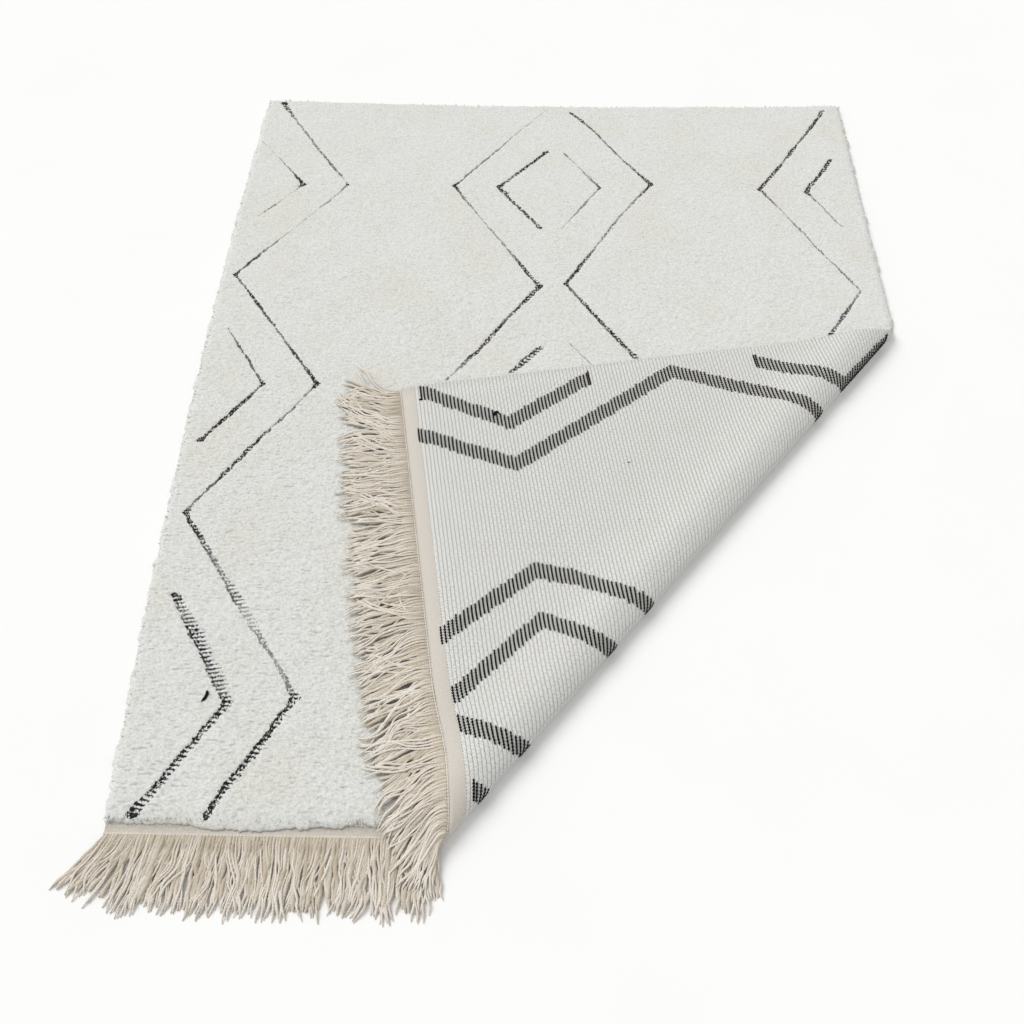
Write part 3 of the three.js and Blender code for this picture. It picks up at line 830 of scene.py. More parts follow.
@dataclass(frozen=True)
class KnottedBackFinish:
    """Back of a hand knotted rug: a firm rib for each row of knots, dotted with shade between them."""

    rug: FlatRug
    wool: str = "#E5E5E2"
    warm: str = "#DFDED9"
    shade: str = "#6B6A65"
    roughness: float = 0.9
    sheen: float = 0.1
    knot_width: float = 0.0062
    knot_shift: float = 0.5
    knots_per_dash: float = 2.4
    dash_shift: float = 0.382
    gap_levels: Numbers = (0.50, 1.0)
    dot_levels: Numbers = (-0.3, 0.8)
    least_dot: float = 0.10
    joint_levels: Numbers = (0.55, 1.0)
    joint_share: float = 0.14
    row_wander: float = 0.18
    wander_size: float = 0.018
    grain_size: float = 0.0021
    grain_levels: Numbers = (0.44, 0.66, 0.0, 0.36)
    patch_size: float = 0.060
    bump_height: float = 0.0006
    bump_strength: float = 0.8

    def build(self) -> Material:
        """Makes the material; it reads the attribute flat_place."""
        nodes = SurfaceNodes("knotted_wool_back", self.roughness, self.sheen)
        flat = nodes.attribute("flat_place", "Vector")
        across, along, _ = nodes.parts(flat)
        rows = nodes.math("DIVIDE", nodes.less(along, self.rug.band), self.rug.knot_row)
        row_number = nodes.math("FLOOR", rows)
        knots = nodes.math("DIVIDE", across, self.knot_width)
        knots = nodes.plus(knots, nodes.times(row_number, self.knot_shift))
        wander = nodes.noise(flat, self.wander_size)
        wander = nodes.levels(wander, start=-self.row_wander, end=self.row_wander)
        gap = nodes.wave(nodes.plus(rows, wander), *self.gap_levels)
        dots = nodes.levels(nodes.wave(knots, *self.dot_levels), start=self.least_dot)
        dashes = nodes.math("DIVIDE", knots, self.knots_per_dash)
        dashes = nodes.plus(dashes, nodes.times(row_number, self.dash_shift))
        joint = nodes.times(nodes.wave(dashes, *self.joint_levels), self.joint_share)
        gaps = nodes.math("MAXIMUM", nodes.times(gap, dots), joint)
        grain = nodes.levels(nodes.noise(flat, self.grain_size, 2.0), *self.grain_levels)
        dark = nodes.math("ADD", gaps, grain, clamp=True)
        wool = nodes.blend(nodes.noise(flat, self.patch_size, 4.0), self.wool, self.warm)
        shaded = nodes.blend(dark, wool, self.shade)
        return nodes.close(shaded, nodes.less(1.0, dark), self.bump_height, self.bump_strength)


@dataclass(frozen=True)
class CottonBandFinish:
    """Plain woven cotton end band, unbleached, with threads too fine to part from a step away."""

    cotton: str = "#D6D0C7"
    shade: str = "#B5AEA2"
    # Colour of the painted shade under the pile's edge, with some soil.
    pile_shade_and_soil: str = "#8F877A"
    roughness: float = 0.9
    sheen: float = 0.1
    thread_width: float = 0.0022
    near_pile_levels: Numbers = (0.012, 0.034)
    spot_levels: Numbers = (0.30, 0.65, 0.20, 1.0)
    unturned_levels: Numbers = (0.580, 0.560, 0.15, 1.0)
    bump_height: float = 0.0004
    bump_strength: float = 0.6

    def build(self) -> Material:
        """Makes the material; it reads the attribute flat_place and paints shade with some soil towards the
        pile, mostly where the band is not turned back.
        """
        nodes = SurfaceNodes("plain_cotton_band", self.roughness, self.sheen)
        flat = nodes.attribute("flat_place", "Vector")
        across, along, _ = nodes.parts(flat)
        weave = add_node(nodes.tree, "ShaderNodeTexChecker", {"Vector": flat, "Scale": 1 / self.thread_width})
        specks = nodes.noise(flat, 2 * self.thread_width)
        mixed = nodes.times(weave.outputs["Fac"], specks)
        colour = nodes.blend(mixed, self.cotton, self.shade)
        # Painted shade where the pile's edge overhangs the band, with some soil, in spots.
        near_pile = nodes.levels(along, *self.near_pile_levels)
        shaded_and_soiled = nodes.times(near_pile, nodes.levels(specks, *self.spot_levels))
        shaded_and_soiled = nodes.times(shaded_and_soiled, nodes.levels(across, *self.unturned_levels))
        colour = nodes.blend(shaded_and_soiled, colour, self.pile_shade_and_soil)
        return nodes.close(colour, mixed, self.bump_height, self.bump_strength)


@dataclass(frozen=True)
class YarnFinish:
    """Spun yarn of two plies: matt, with shade in the groove between the plies."""

    name: str
    light: str
    deep: str
    groove: str
    roughness: float = 0.9
    sheen: float = 0.15
    fibre_size: float = 0.0012
    bump_height: float = 0.0005
    bump_strength: float = 0.6
    groove_width: float = 0.45
    groove_share: float = 0.30

    def build(self) -> Material:
        """Makes the material; it reads the attributes shade and ply."""
        nodes = SurfaceNodes(self.name, self.roughness, self.sheen)
        yarn = nodes.blend(nodes.attribute("shade"), self.light, self.deep)
        across = nodes.math("ABSOLUTE", nodes.parts(nodes.attribute("ply", "Vector"))[0])
        groove = nodes.levels(across, self.groove_width, 0.0, end=self.groove_share)
        colour = nodes.blend(groove, yarn, self.groove)
        fibre = nodes.noise(nodes.place(), self.fibre_size, 2.0)
        return nodes.close(colour, fibre, self.bump_height, self.bump_strength)


@dataclass(frozen=True)
class FloorFinish:
    """Matt white studio floor, with a grain too faint to see."""

    white: str = "#F7F7F6"
    grain: str = "#F4F4F3"
    grain_size: float = 1 / 3
    roughness: float = 0.9

    def build(self) -> Material:
        """Makes the material."""
        nodes = SurfaceNodes("matt_white_floor", self.roughness, 0.0)
        grain = nodes.noise(nodes.place(), self.grain_size, 2.0)
        colour = nodes.blend(grain, self.white, self.grain)
        nodes.tree.links.new(colour, nodes.shader.inputs["Base Color"])
        return nodes.material


@dataclass
class GroundCloth:
    """The woven ground with its flat end band: one thin sheet, ribbed where its back shows."""

    rug: FlatRug
    fold: CornerFold
    rib_depth: float = 0.0004
    rib_rows: int = 4
    rib_start: tuple[float, float] = (0.005, 0.030)
    rib_far: float = 1.214
    coarse_pitch: float = 0.080
    floor_columns: int = 10
    arc_columns: tuple[int, int, int] = (13, 10, 7)
    flap_columns: int = 14
    name: str = "ground_weave"

    def rows(self) -> np.ndarray:
        """Rows of the lattice, fine where the ribs show."""
        rib = self.rug.knot_row / self.rib_rows
        return np.concatenate([
            np.linspace(0, self.rug.band, self.rib_rows, endpoint=False),
            even_places(self.rug.band, self.rib_far, rib),
            even_places(self.rib_far, self.rug.length, self.coarse_pitch)[1:],
        ])

    def columns(self, v: np.ndarray, start: np.ndarray, floor_count: int, share: float = 1.0) -> np.ndarray:
        """Places across the rug on each row, from a start, over the bend, to the right selvedge.

        Args:
            v: Places of the rows along the rug.
            start: Place across the rug where each row starts.
            floor_count: Number of columns on the floor before the bend.
            share: Share of the usual number of columns on the bend and the flap.

        Returns:
            One row of places for each row of the lattice.
        """
        bend = np.clip(self.fold.u_at(0.0, v), start, self.rug.width)
        places = [start + (bend - start) * k / floor_count for k in range(floor_count + 1)]
        passed = 0.0
        for arc, count in zip(self.fold.arcs, self.arc_columns):
            steps = max(2, round(count * share))
            for k in range(1, steps + 1):
                line = self.fold.u_at(passed + arc.length * k / steps, v)
                places.append(np.clip(line, start, self.rug.width))
            passed += arc.length
        last = places[-1]
        steps = max(2, round(self.flap_columns * share))
        places += [last + (self.rug.width - last) * k / steps for k in range(1, steps + 1)]
        return np.stack(places, axis=1)

    def build(self, back: Material, band: Material) -> Object:
        """Makes the sheet.

        Args:
            back: Material of the knotted back.
            band: Material of the flat end band.

        Returns:
            The piece.
        """
        v = self.rows()
        u = self.columns(v, np.zeros_like(v), self.floor_columns)
        grid_v = np.broadcast_to(v[:, None], u.shape)
        number = number_places(u)
        kept = first_places(number)
        flat_u, flat_v = u.ravel()[kept], grid_v.ravel()[kept]
        on_flap = ramp(self.fold.distance(flat_u, flat_v), *self.rib_start)
        wave = 0.5 + 0.5 * np.cos(2 * math.pi * (flat_v - self.rug.band) / self.rug.knot_row)
        groove = self.rib_depth * wave * on_flap * (flat_v > self.rug.band)
        draft = MeshDraft()
        draft.add_points(self.fold.place(flat_u, flat_v, groove))
        band_row = int(np.searchsorted(v, self.rug.band - SAME_PLACE))
        draft.add_faces(grid_faces(number[:band_row + 1], flip=True), slot=1)
        draft.add_faces(grid_faces(number[band_row:], flip=True))
        last = len(v) - 1
        ribs = np.arange(band_row + self.rib_rows, last, self.rib_rows)
        sparse = np.concatenate([np.arange(0, band_row + 1), ribs, [last]])
        upper_number = number_places(u[sparse])
        upper_kept = first_places(upper_number)
        upper_u, upper_v = u[sparse].ravel()[upper_kept], grid_v[sparse].ravel()[upper_kept]
        first = draft.add_points(self.fold.place(upper_u, upper_v, self.rug.ground))
        upper_number = upper_number + first
        upper_band = int(np.searchsorted(v[sparse], self.rug.band - SAME_PLACE))
        draft.add_faces(grid_faces(upper_number[:upper_band + 1]), slot=1)
        draft.add_faces(grid_faces(upper_number[upper_band:]))
        for k, (low, high) in enumerate(zip(sparse[:-1], sparse[1:])):
            slot = int(k < upper_band)
            left = np.concatenate([number[low:high + 1, 0], upper_number[[k + 1, k], 0]])
            right = np.concatenate([number[low:high + 1, -1], upper_number[[k + 1, k], -1]])
            draft.add_faces(left[None, ::-1], soft=False, slot=slot)
            draft.add_faces(right[None, :], soft=False, slot=slot)
        draft.add_faces(strip_faces(number[0], upper_number[0]), soft=False, slot=1)
        draft.add_faces(strip_faces(number[-1, ::-1], upper_number[-1, ::-1])[::-1], soft=False)
        flat = np.concatenate([
            np.stack([flat_u, flat_v, groove], axis=1),
            np.stack([upper_u, upper_v, np.full_like(upper_u, self.rug.ground)], axis=1),
        ])
        return draft.to_object(self.name, {"flat_place": flat}, back, band)


@dataclass(frozen=True)
class PileStretch:
    """Rows of visible pile that are made as one piece."""

    name: str
    near: float
    far: float
    row_steps: int
    column_pitch: float


@dataclass
class WoolPile:
    """Knotted pile: rows of tufts that part in short cracks, with charcoal lines sunk in it."""

    rug: FlatRug
    fold: CornerFold
    lattice: DiamondLattice
    cloth: GroundCloth
    stretches: tuple[PileStretch, ...] = (
        PileStretch("wool_pile_near", 0.030, 0.754, 4, 0.0034),
        PileStretch("wool_pile_middle", 0.754, 1.194, 4, 0.0034),
        PileStretch("wool_pile_upper", 1.194, 1.602, 3, 0.0038),
        PileStretch("wool_pile_far", 1.602, 2.014, 3, 0.0038),
    )
    lap_sinks: tuple[float, float] = (0.0003, 0.0040)
    rim_width: float = 0.014
    rim_steps: int = 6
    rim_foot: float = 0.0045
    rim_bulge: float = 0.004
    rim_jag: float = 0.004
    rim_fuzz: float = 0.0024
    rim_fuzzes: tuple[Numbers, ...] = ((1.0, 0.0065, 2.2, 0.0065, 0.0), (0.6, 0.003, 0.0, 0.003, 9.9))
    rim_pitch: float = 0.020
    foot_overhang: float = 0.003
    near_slope: float = 0.45
    bowed_rows: int = 16
    sunk: float = 0.003
    lump_wave: float = 0.095
    lump_rise: float = 0.0014
    warps: tuple[Numbers, ...] = (
        (0.0050, 0.070, 0.0, 0.050, 0.0), (0.0042, 0.024, 7.1, 0.021, 0.0), (0.0010, 0.007, 0.0, 0.009, 2.9),
    )
    parting: tuple[float, float] = (-0.7, 0.9)
    parting_wave: float = 0.030
    row_depth: float = 0.0004
    row_power: float = 2.5
    crack_depth: float = 0.0017
    crack_width: float = 0.0011
    crack_length: float = 0.0095
    crack_start: tuple[float, float] = (0.15, 1.05)
    crack_shares: tuple[float, float] = (0.30, 0.70)
    left_cracks: float = 0.30
    left_reach: float = 0.9
    near_detail: float = 1.2
    detail_reach: float = 1.6
    tuft_size: tuple[float, float] = (0.0052, 0.0054)
    second_tufts: tuple[Numbers, ...] = ((0.7, 0.0036, 0.0, 0.0090, 5.5),)
    tuft_rise: float = 0.0009
    fibre_count: float = 2e4
    fibre_rise: float = 0.0005
    grain_shares: tuple[float, float] = (0.45, 0.85)
    painted_shade_depth: float = 0.0028
    painted_shade_start: float = 0.1
    groove_depth: float = 0.0020
    groove_edge: tuple[float, float] = (-0.001, 0.002)
    # Strength of the painted shade at the foot of the near rim, and where it grows from the left selvedge.
    under_shades: tuple[float, float] = (0.15, 0.60)
    under_start: tuple[float, float] = (0.10, 0.20)
    spill_reach: float = 0.060
    spill_wave: float = 0.037
    spill_places: tuple[tuple[float, float], ...] = (
        (0.0, -0.0035), (0.036, -0.0035), (0.130, -0.001), (0.234, 0.010), (0.285, 0.002), (0.354, 0.0055),
        (0.423, -0.002), (0.475, -0.003), (0.600, -0.003),
    )
    flap_margin: float = 0.025
    hidden_sink: float = 0.001
    foot_inset: float = 0.002
    folded_overlap: float = 0.010
    folded_end: float = 0.008
    folded_least: float = 0.004
    folded_columns: int = 4
    folded_share: float = 0.6
    foot_rag: float = 0.8
    selvedge_rags: tuple[Numbers, ...] = ((0.003, 0.016, 4.4), (0.002, 0.006, 9.1))
    selvedge_push: float = 0.0045
    corner_push: float = 0.014
    corner_reach: float = 0.100

    def relief(self, u: np.ndarray, v: np.ndarray) -> tuple[np.ndarray, np.ndarray]:
        """Small forms of the pile's surface.

        Args:
            u: Distance across from the left selvedge.
            v: Distance along from the near edge.

        Returns:
            The height above the mean pile, and how deep between tufts each place lies, from 0 to 1, which the
            wool's colour takes as painted shade.
        """
        warp = layered_noise(u, v, self.warps)
        place = (v - self.rug.band + warp) / self.rug.knot_row
        row = np.floor(place)
        side = np.abs(place - row - 0.5) * 2
        parted = ramp(soft_noise(u / self.parting_wave, row * 0.61 + 3.7), *self.parting)
        rows = -self.row_depth * parted * side ** self.row_power
        border = np.rint(place)
        gap = np.abs(place - border) * self.rug.knot_row
        spread = soft_noise(u / self.crack_length + 31 * cell_hash(border, 3.1), border * 1.37)
        nearness = np.clip(self.near_detail - v / self.detail_reach, 0, 1)
        spread = spread + self.left_cracks * np.clip(1 - u / self.left_reach, 0, 1) * nearness
        crack = -self.crack_depth * ramp(spread, *self.crack_start) * np.exp(-(gap / self.crack_width) ** 2)
        crack = crack * (self.crack_shares[0] + self.crack_shares[1] * nearness)
        tuft = soft_noise(u / self.tuft_size[0] + row * 13.7, v / self.tuft_size[1])
        tuft = tuft + layered_noise(u, v, self.second_tufts)
        fibre = 2 * cell_hash(np.rint(u * self.fibre_count), np.rint(v * self.fibre_count)) - 1
        grain = self.grain_shares[0] + self.grain_shares[1] * nearness
        small = rows + crack + grain * (self.tuft_rise * tuft + self.fibre_rise * fibre)
        # Painted shade: the rows' partings and the cracks between them darken the wool's colour.
        painted_hollow_shade = np.clip(-(rows + crack) / self.painted_shade_depth - self.painted_shade_start, 0, 1)
        return small, painted_hollow_shade

    def hidden_from(self, v: np.ndarray) -> np.ndarray:
        """Place across the rug, on each row, past which the flap covers the pile."""
        tip_u, tip_v = self.fold.mirrored(self.rug.width, 0.0)
        start_u = self.fold.crease_start[0]
        under_fringe = start_u + (tip_u - start_u) * v / tip_v
        end_u, end_v = self.fold.crease_end
        under_selvedge = tip_u + (end_u - tip_u) * (v - tip_v) / (end_v - tip_v)
        edge = np.where(v < tip_v, under_fringe, under_selvedge) + self.flap_margin
        return np.minimum(edge, self.rug.width)

    def _rim_places(self, start: float, inward: float) -> np.ndarray:
        """Places that close up towards an edge, so that the rim rolls over evenly."""
        turns = np.linspace(0, math.pi / 2, self.rim_steps + 1)[:-1]
        return start + inward * self.rim_width * (1 - np.cos(turns))

    def _columns(self, pitch: float) -> np.ndarray:
        """Places of the columns across the whole width."""
        left = self._rim_places(0.0, 1.0)
        right = self._rim_places(self.rug.width, -1.0)[::-1]
        middle = even_places(self.rim_width, self.rug.width - self.rim_width, pitch)
        return np.concatenate([left, middle, right])

    def _rows(self, stretch: PileStretch) -> np.ndarray:
        """Places of the rows along one stretch."""
        step = self.rug.knot_row / stretch.row_steps
        near, far = stretch.near, stretch.far
        rows = np.arange(round((far - near) / step) + 1) * step + near
        laps = step * np.arange(1, len(self.lap_sinks) + 1)
        if near <= self.rug.band:
            rows = np.concatenate([self._rim_places(near, 1.0), rows[rows > near + self.rim_width]])
        else:
            rows = np.concatenate([near - laps[::-1], rows])
        if far >= self.rug.length:
            return np.concatenate([rows[rows < far - self.rim_width], self._rim_places(far, -1.0)[::-1]])
        return np.concatenate([rows, far + laps])

    def _rim(self, u: np.ndarray, v: np.ndarray) -> tuple[np.ndarray, np.ndarray, np.ndarray]:
        """Roll of the rim: share of the full height, and the push outward in u and v."""
        share = np.ones_like(u)
        push_u, push_v = np.zeros_like(u), np.zeros_like(u)
        jag = soft_noise((u + v) / (1.7 * self.rim_pitch), v / self.rim_pitch)
        fine = layered_noise(u, v, self.rim_fuzzes)
        edges = (
            (u, -1.0, push_u, self.rim_bulge),
            (self.rug.width - u, 1.0, push_u, self.rim_bulge),
            (self.rug.length - v, 1.0, push_v, self.rim_bulge),
            ((v - self.rug.band) * self.near_slope, -1.0, push_v, self.foot_overhang),
        )
        for inward, way, push, bulge in edges:
            t = np.clip(inward / self.rim_width, 0, 1)
            share *= np.sqrt(np.clip(1 - (1 - t) ** 2, 0, 1))
            amount = bulge + self.rim_jag * jag + self.rim_fuzz * fine
            push += way * amount * (1 - t) ** 2
        spill = np.interp(u, *zip(*self.spill_places)) + self.rim_jag * soft_noise(u / self.spill_wave, 5.5)
        push_v -= spill * np.clip(1 - (v - self.rug.band) / self.spill_reach, 0, 1) ** 1.5
        return share, push_u, push_v

    def top(self, u: np.ndarray, v: np.ndarray) -> tuple[np.ndarray, dict[str, np.ndarray]]:
        """Surface of the pile.

        Args:
            u: Distance across from the left selvedge.
            v: Distance along from the near edge.

        Returns:
            The folded places of the surface, and its point attributes.
        """
        small, painted_hollow_shade = self.relief(u, v)
        dye, ink = self.lattice.dye(u, v)
        share, push_u, push_v = self._rim(u, v)
        lump = self.lump_rise * soft_noise(u / self.lump_wave, v / self.lump_wave)
        marked = ramp(dye[:, 1] - np.abs(dye[:, 0]), *self.groove_edge) * np.clip(ink, 0, 1)
        full = self.rug.pile_top + lump + small - self.groove_depth * marked
        h = self.rim_foot + (full - self.rim_foot) * share
        places = self.fold.place(u + push_u, v + push_v, h)
        # Painted shade at the foot of the near rim, over the end band, fainter towards the left selvedge.
        painted_rim_foot_shade = np.clip(1.1 - 3.0 * share, 0, 1) * (v < self.rug.band + self.rim_width)
        least, further = self.under_shades
        painted_rim_foot_shade = painted_rim_foot_shade * (least + further * ramp(u, *self.under_start))
        return places, {"dye": dye, "ink": ink, "painted_hollow_shade": np.maximum(painted_hollow_shade * (1 - marked), painted_rim_foot_shade)}

    def build_stretch(self, stretch: PileStretch, material: Material) -> Object:
        """Makes one closed stretch of the visible pile."""
        v = self._rows(stretch)
        u = np.minimum(self._columns(stretch.column_pitch)[None, :], self.hidden_from(v)[:, None])
        number = number_places(u)
        kept = first_places(number)
        grid_v = np.broadcast_to(v[:, None], u.shape)
        flat_u, flat_v = u.ravel()[kept], grid_v.ravel()[kept]
        places, attributes = self.top(flat_u, flat_v)
        lap = np.maximum(flat_v - stretch.far, stretch.near - flat_v) * stretch.row_steps / self.rug.knot_row
        places[:, 2] -= np.interp(lap, range(len(self.lap_sinks) + 1), (0.0, *self.lap_sinks))
        draft = MeshDraft()
        draft.add_points(places)
        draft.add_faces(grid_faces(number))
        foot_height, steps = self.sunk / 2, np.arange(len(v))
        left_places = self.fold.place(np.full_like(v, self.foot_inset), v, foot_height)
        left_foot = draft.add_points(left_places) + steps
        right_places = self.fold.place(u[:, -1] - self.foot_inset, v, foot_height)
        right_places[:, 2] = np.minimum(right_places[:, 2], foot_height)
        right_foot = draft.add_points(right_places) + steps
        foot_rows = []
        for row in (0, -1):
            upper = np.unique(number[row])
            inner = upper[1:-1]
            first = draft.add_points(self.fold.place(flat_u[inner], flat_v[inner], foot_height))
            inner_foot = first + np.arange(len(inner))
            foot = np.concatenate([[left_foot[row]], inner_foot, [right_foot[row]]])
            foot_rows.append(foot)
            wall = strip_faces(foot, upper)
            draft.add_faces(wall if row == 0 else wall[:, ::-1], soft=False)
        left = np.stack([left_foot[:-1], number[:-1, 0], number[1:, 0], left_foot[1:]], axis=1)
        right = np.stack([right_foot[1:], number[1:, -1], number[:-1, -1], right_foot[:-1]], axis=1)
        draft.add_faces(left, soft=False)
        draft.add_faces(right, soft=False)
        skip, last = self.bowed_rows, len(v) - 1 - self.bowed_rows
        draft.add_faces(strip_faces(left_foot[skip:last + 1], right_foot[skip:last + 1]), soft=False)
        first_under = np.concatenate([foot_rows[0][::-1], left_foot[1:skip + 1], right_foot[skip:0:-1]])
        last_under = np.concatenate([foot_rows[1], right_foot[last:-1][::-1], left_foot[last:-1]])
        draft.add_faces(first_under[None, :], soft=False)
        draft.add_faces(last_under[None, :], soft=False)
        extra = draft.count - len(flat_u)
        for title, values in attributes.items():
            plain = self.lattice.unmarked if title == "dye" else 0.0
            attributes[title] = np.concatenate([values, np.zeros((extra, *values.shape[1:])) + plain])
        return draft.to_object(stretch.name, attributes, material)

    def build_folded(self, material: Material) -> Object:
        """Makes the pile inside the fold and under the flap, of which only the edges show."""
        rows = even_places(self.rug.band, self.fold.crease_end[1] - self.folded_end, self.rug.knot_row)
        start = np.minimum(self.hidden_from(rows) - self.folded_overlap, self.rug.width - self.folded_least)
        u = self.cloth.columns(rows, start, self.folded_columns, self.folded_share)
        number = number_places(u)
        kept = first_places(number)
        flat_u = u.ravel()[kept]
        flat_v = np.broadcast_to(rows[:, None], u.shape).ravel()[kept]
        ragged = sum(size * soft_noise(flat_v / wave, shift) for size, wave, shift in self.selvedge_rags)
        ragged = ragged + self.selvedge_push + self.corner_push * np.exp(-flat_v / self.corner_reach)
        ragged = ragged * (flat_u > self.rug.width - SAME_PLACE)
        top_height = self.rug.pile_top - self.hidden_sink
        draft = MeshDraft()
        draft.add_points(self.fold.place(flat_u + ragged, flat_v, top_height))
        below = draft.add_points(self.fold.place(flat_u + self.foot_rag * ragged, flat_v, self.sunk))
        draft.add_faces(grid_faces(number))
        draft.add_faces(grid_faces(number + below, flip=True))
        edges = ((number[0], False), (number[-1], True), (number[:, 0], True), (number[:, -1], False))
        for edge, turned in edges:
            wall = strip_faces(edge + below, edge)
            draft.add_faces(wall[:, ::-1] if turned else wall, soft=False)
        blank = np.zeros(draft.count)
        unmarked = np.tile(self.lattice.unmarked, (draft.count, 1))
        attributes = {"dye": unmarked, "ink": blank, "painted_hollow_shade": blank}
        return draft.to_object("wool_pile_folded", attributes, material)


@dataclass
class SeedGroup(NodeSums):
    """Geometry nodes, with named inputs, that grow a repeated shape on the seeds of a piece."""

    name: str
    numbers: dict[str, float]

    def __post_init__(self) -> None:
        """Starts the node tree and names its inputs."""
        self.tree = bpy.data.node_groups.new(self.name, "GeometryNodeTree")
        face = self.tree.interface
        face.new_socket("Seeds", in_out="INPUT", socket_type="NodeSocketGeometry")
        for title in self.numbers:
            face.new_socket(title, in_out="INPUT", socket_type="NodeSocketFloat")
        face.new_socket("Material", in_out="INPUT", socket_type="NodeSocketMaterial")
        face.new_socket("Shapes", in_out="OUTPUT", socket_type="NodeSocketGeometry")
        self.given = add_node(self.tree, "NodeGroupInput").outputs

    def attribute(self, title: str, kind: str = "FLOAT") -> NodeSocket:
        """Socket of a named attribute of the seeds."""
        inputs = {"Name": title}
        return add_node(self.tree, "GeometryNodeInputNamedAttribute", inputs, data_type=kind).outputs[0]

    def close(self, shapes: NodeSocket) -> None:
        """Ends the tree: the shapes become plain mesh, shaded smoothly, with the given material."""
        plain = add_node(self.tree, "GeometryNodeRealizeInstances", {"Geometry": shapes})
        soft = add_node(self.tree, "GeometryNodeSetShadeSmooth", {"Geometry": plain.outputs[0]})
        dressed = add_node(self.tree, "GeometryNodeSetMaterial", {
            "Geometry": soft.outputs[0], "Material": self.given["Material"],
        })
        add_node(self.tree, "NodeGroupOutput", {"Shapes": dressed.outputs[0]})

    def grow(self, name: str, seeds: Mesh, material: Material) -> Object:
        """Grows the shapes and makes them one plain piece.

        Args:
            name: Name of the piece.
            seeds: Mesh whose points or edges carry the shapes.
            material: Material of the shapes.

        Returns:
            The piece, without a modifier.
        """
        holder = link_piece(name + "_seeds", seeds)
        modifier = holder.modifiers.new("grow", "NODES")
        modifier.node_group = self.tree
        values = {**self.numbers, "Material": material}
        for item in self.tree.interface.items_tree:
            if item.in_out == "INPUT" and item.name in values:
                modifier[item.identifier] = values[item.name]
        holder.update_tag()
        graph = bpy.context.evaluated_depsgraph_get()
        grown = bpy.data.meshes.new_from_object(holder.evaluated_get(graph), depsgraph=graph)
        holder.modifiers.remove(modifier)
        bpy.data.objects.remove(holder)
        return link_piece(name, grown)


@dataclass
class TuftGroup:
    """Pointed tufts of pile wool, each leaning its own way."""

    sides: int = 5
    length: float = 0.009
    root_radius: float = 0.0028
    tip_radius: float = 0.0010
    seed: int = 11

    def build(self) -> SeedGroup:
        """Makes the node tree; it reads the attributes lean and size."""
        group = SeedGroup("wool_tufts", {
            "Length": self.length, "Root radius": self.root_radius, "Tip radius": self.tip_radius,
        })
        tree, given = group.tree, group.given
        cone = add_node(tree, "GeometryNodeMeshCone", {
            "Vertices": self.sides, "Side Segments": 2, "Radius Top": given["Tip radius"],
            "Radius Bottom": given["Root radius"], "Depth": given["Length"],
        })
        points = add_node(tree, "GeometryNodeMeshToPoints", {"Mesh": given["Seeds"]})
        aimed = add_node(tree, "FunctionNodeAlignRotationToVector", {
            "Vector": group.attribute("lean", "FLOAT_VECTOR"),
        }, axis="Z")
        uneven = add_node(tree, "FunctionNodeRandomValue", {
            "Min": (0.70, 0.70, 0.75), "Max": (1.25, 1.25, 1.15), "Seed": self.seed,
        }, data_type="FLOAT_VECTOR")
        scale = add_node(tree, "ShaderNodeVectorMath", {
            0: uneven.outputs[0], "Scale": group.attribute("size"),
        }, operation="SCALE")
        placed = add_node(tree, "GeometryNodeInstanceOnPoints", {
            "Points": points.outputs[0], "Instance": cone.outputs[0],
            "Rotation": aimed.outputs[0], "Scale": scale.outputs[0],
        })
        group.close(placed.outputs[0])
        return group


@dataclass
class YarnGroup:
    """Two plied yarns that follow the edges of their seeds."""

    sides: int = 8
    waist: float = 0.22

    def build(self) -> SeedGroup:
        """Makes the node tree; it reads the attributes yarn_radius and yarn_turn."""
        group = SeedGroup("plied_yarns", {"Waist": self.waist})
        tree = group.tree
        ring = add_node(tree, "GeometryNodeCurvePrimitiveCircle", {"Resolution": self.sides, "Radius": 1.0})
        place = add_node(tree, "GeometryNodeInputPosition").outputs[0]
        _, high, _ = group.parts(place)
        reach = group.less(1.0, group.times(group.times(high, high), group.given["Waist"]))
        lobes = add_node(tree, "ShaderNodeVectorMath", {0: place, "Scale": reach}, operation="SCALE")
        profile = add_node(tree, "GeometryNodeStoreNamedAttribute", {
            "Geometry": ring.outputs[0], "Name": "ply", "Value": place,
        }, data_type="FLOAT_VECTOR")
        profile = add_node(tree, "GeometryNodeSetPosition", {
            "Geometry": profile.outputs[0], "Position": lobes.outputs[0],
        })
        course = add_node(tree, "GeometryNodeMeshToCurve", {"Mesh": group.given["Seeds"]})
        course = add_node(tree, "GeometryNodeSetCurveTilt", {
            "Curve": course.outputs[0], "Tilt": group.attribute("yarn_turn"),
        })
        tube = add_node(tree, "GeometryNodeCurveToMesh", {
            "Curve": course.outputs[0], "Profile Curve": profile.outputs[0],
            "Scale": group.attribute("yarn_radius"), "Fill Caps": True,
        })
        group.close(tube.outputs[0])
        return group


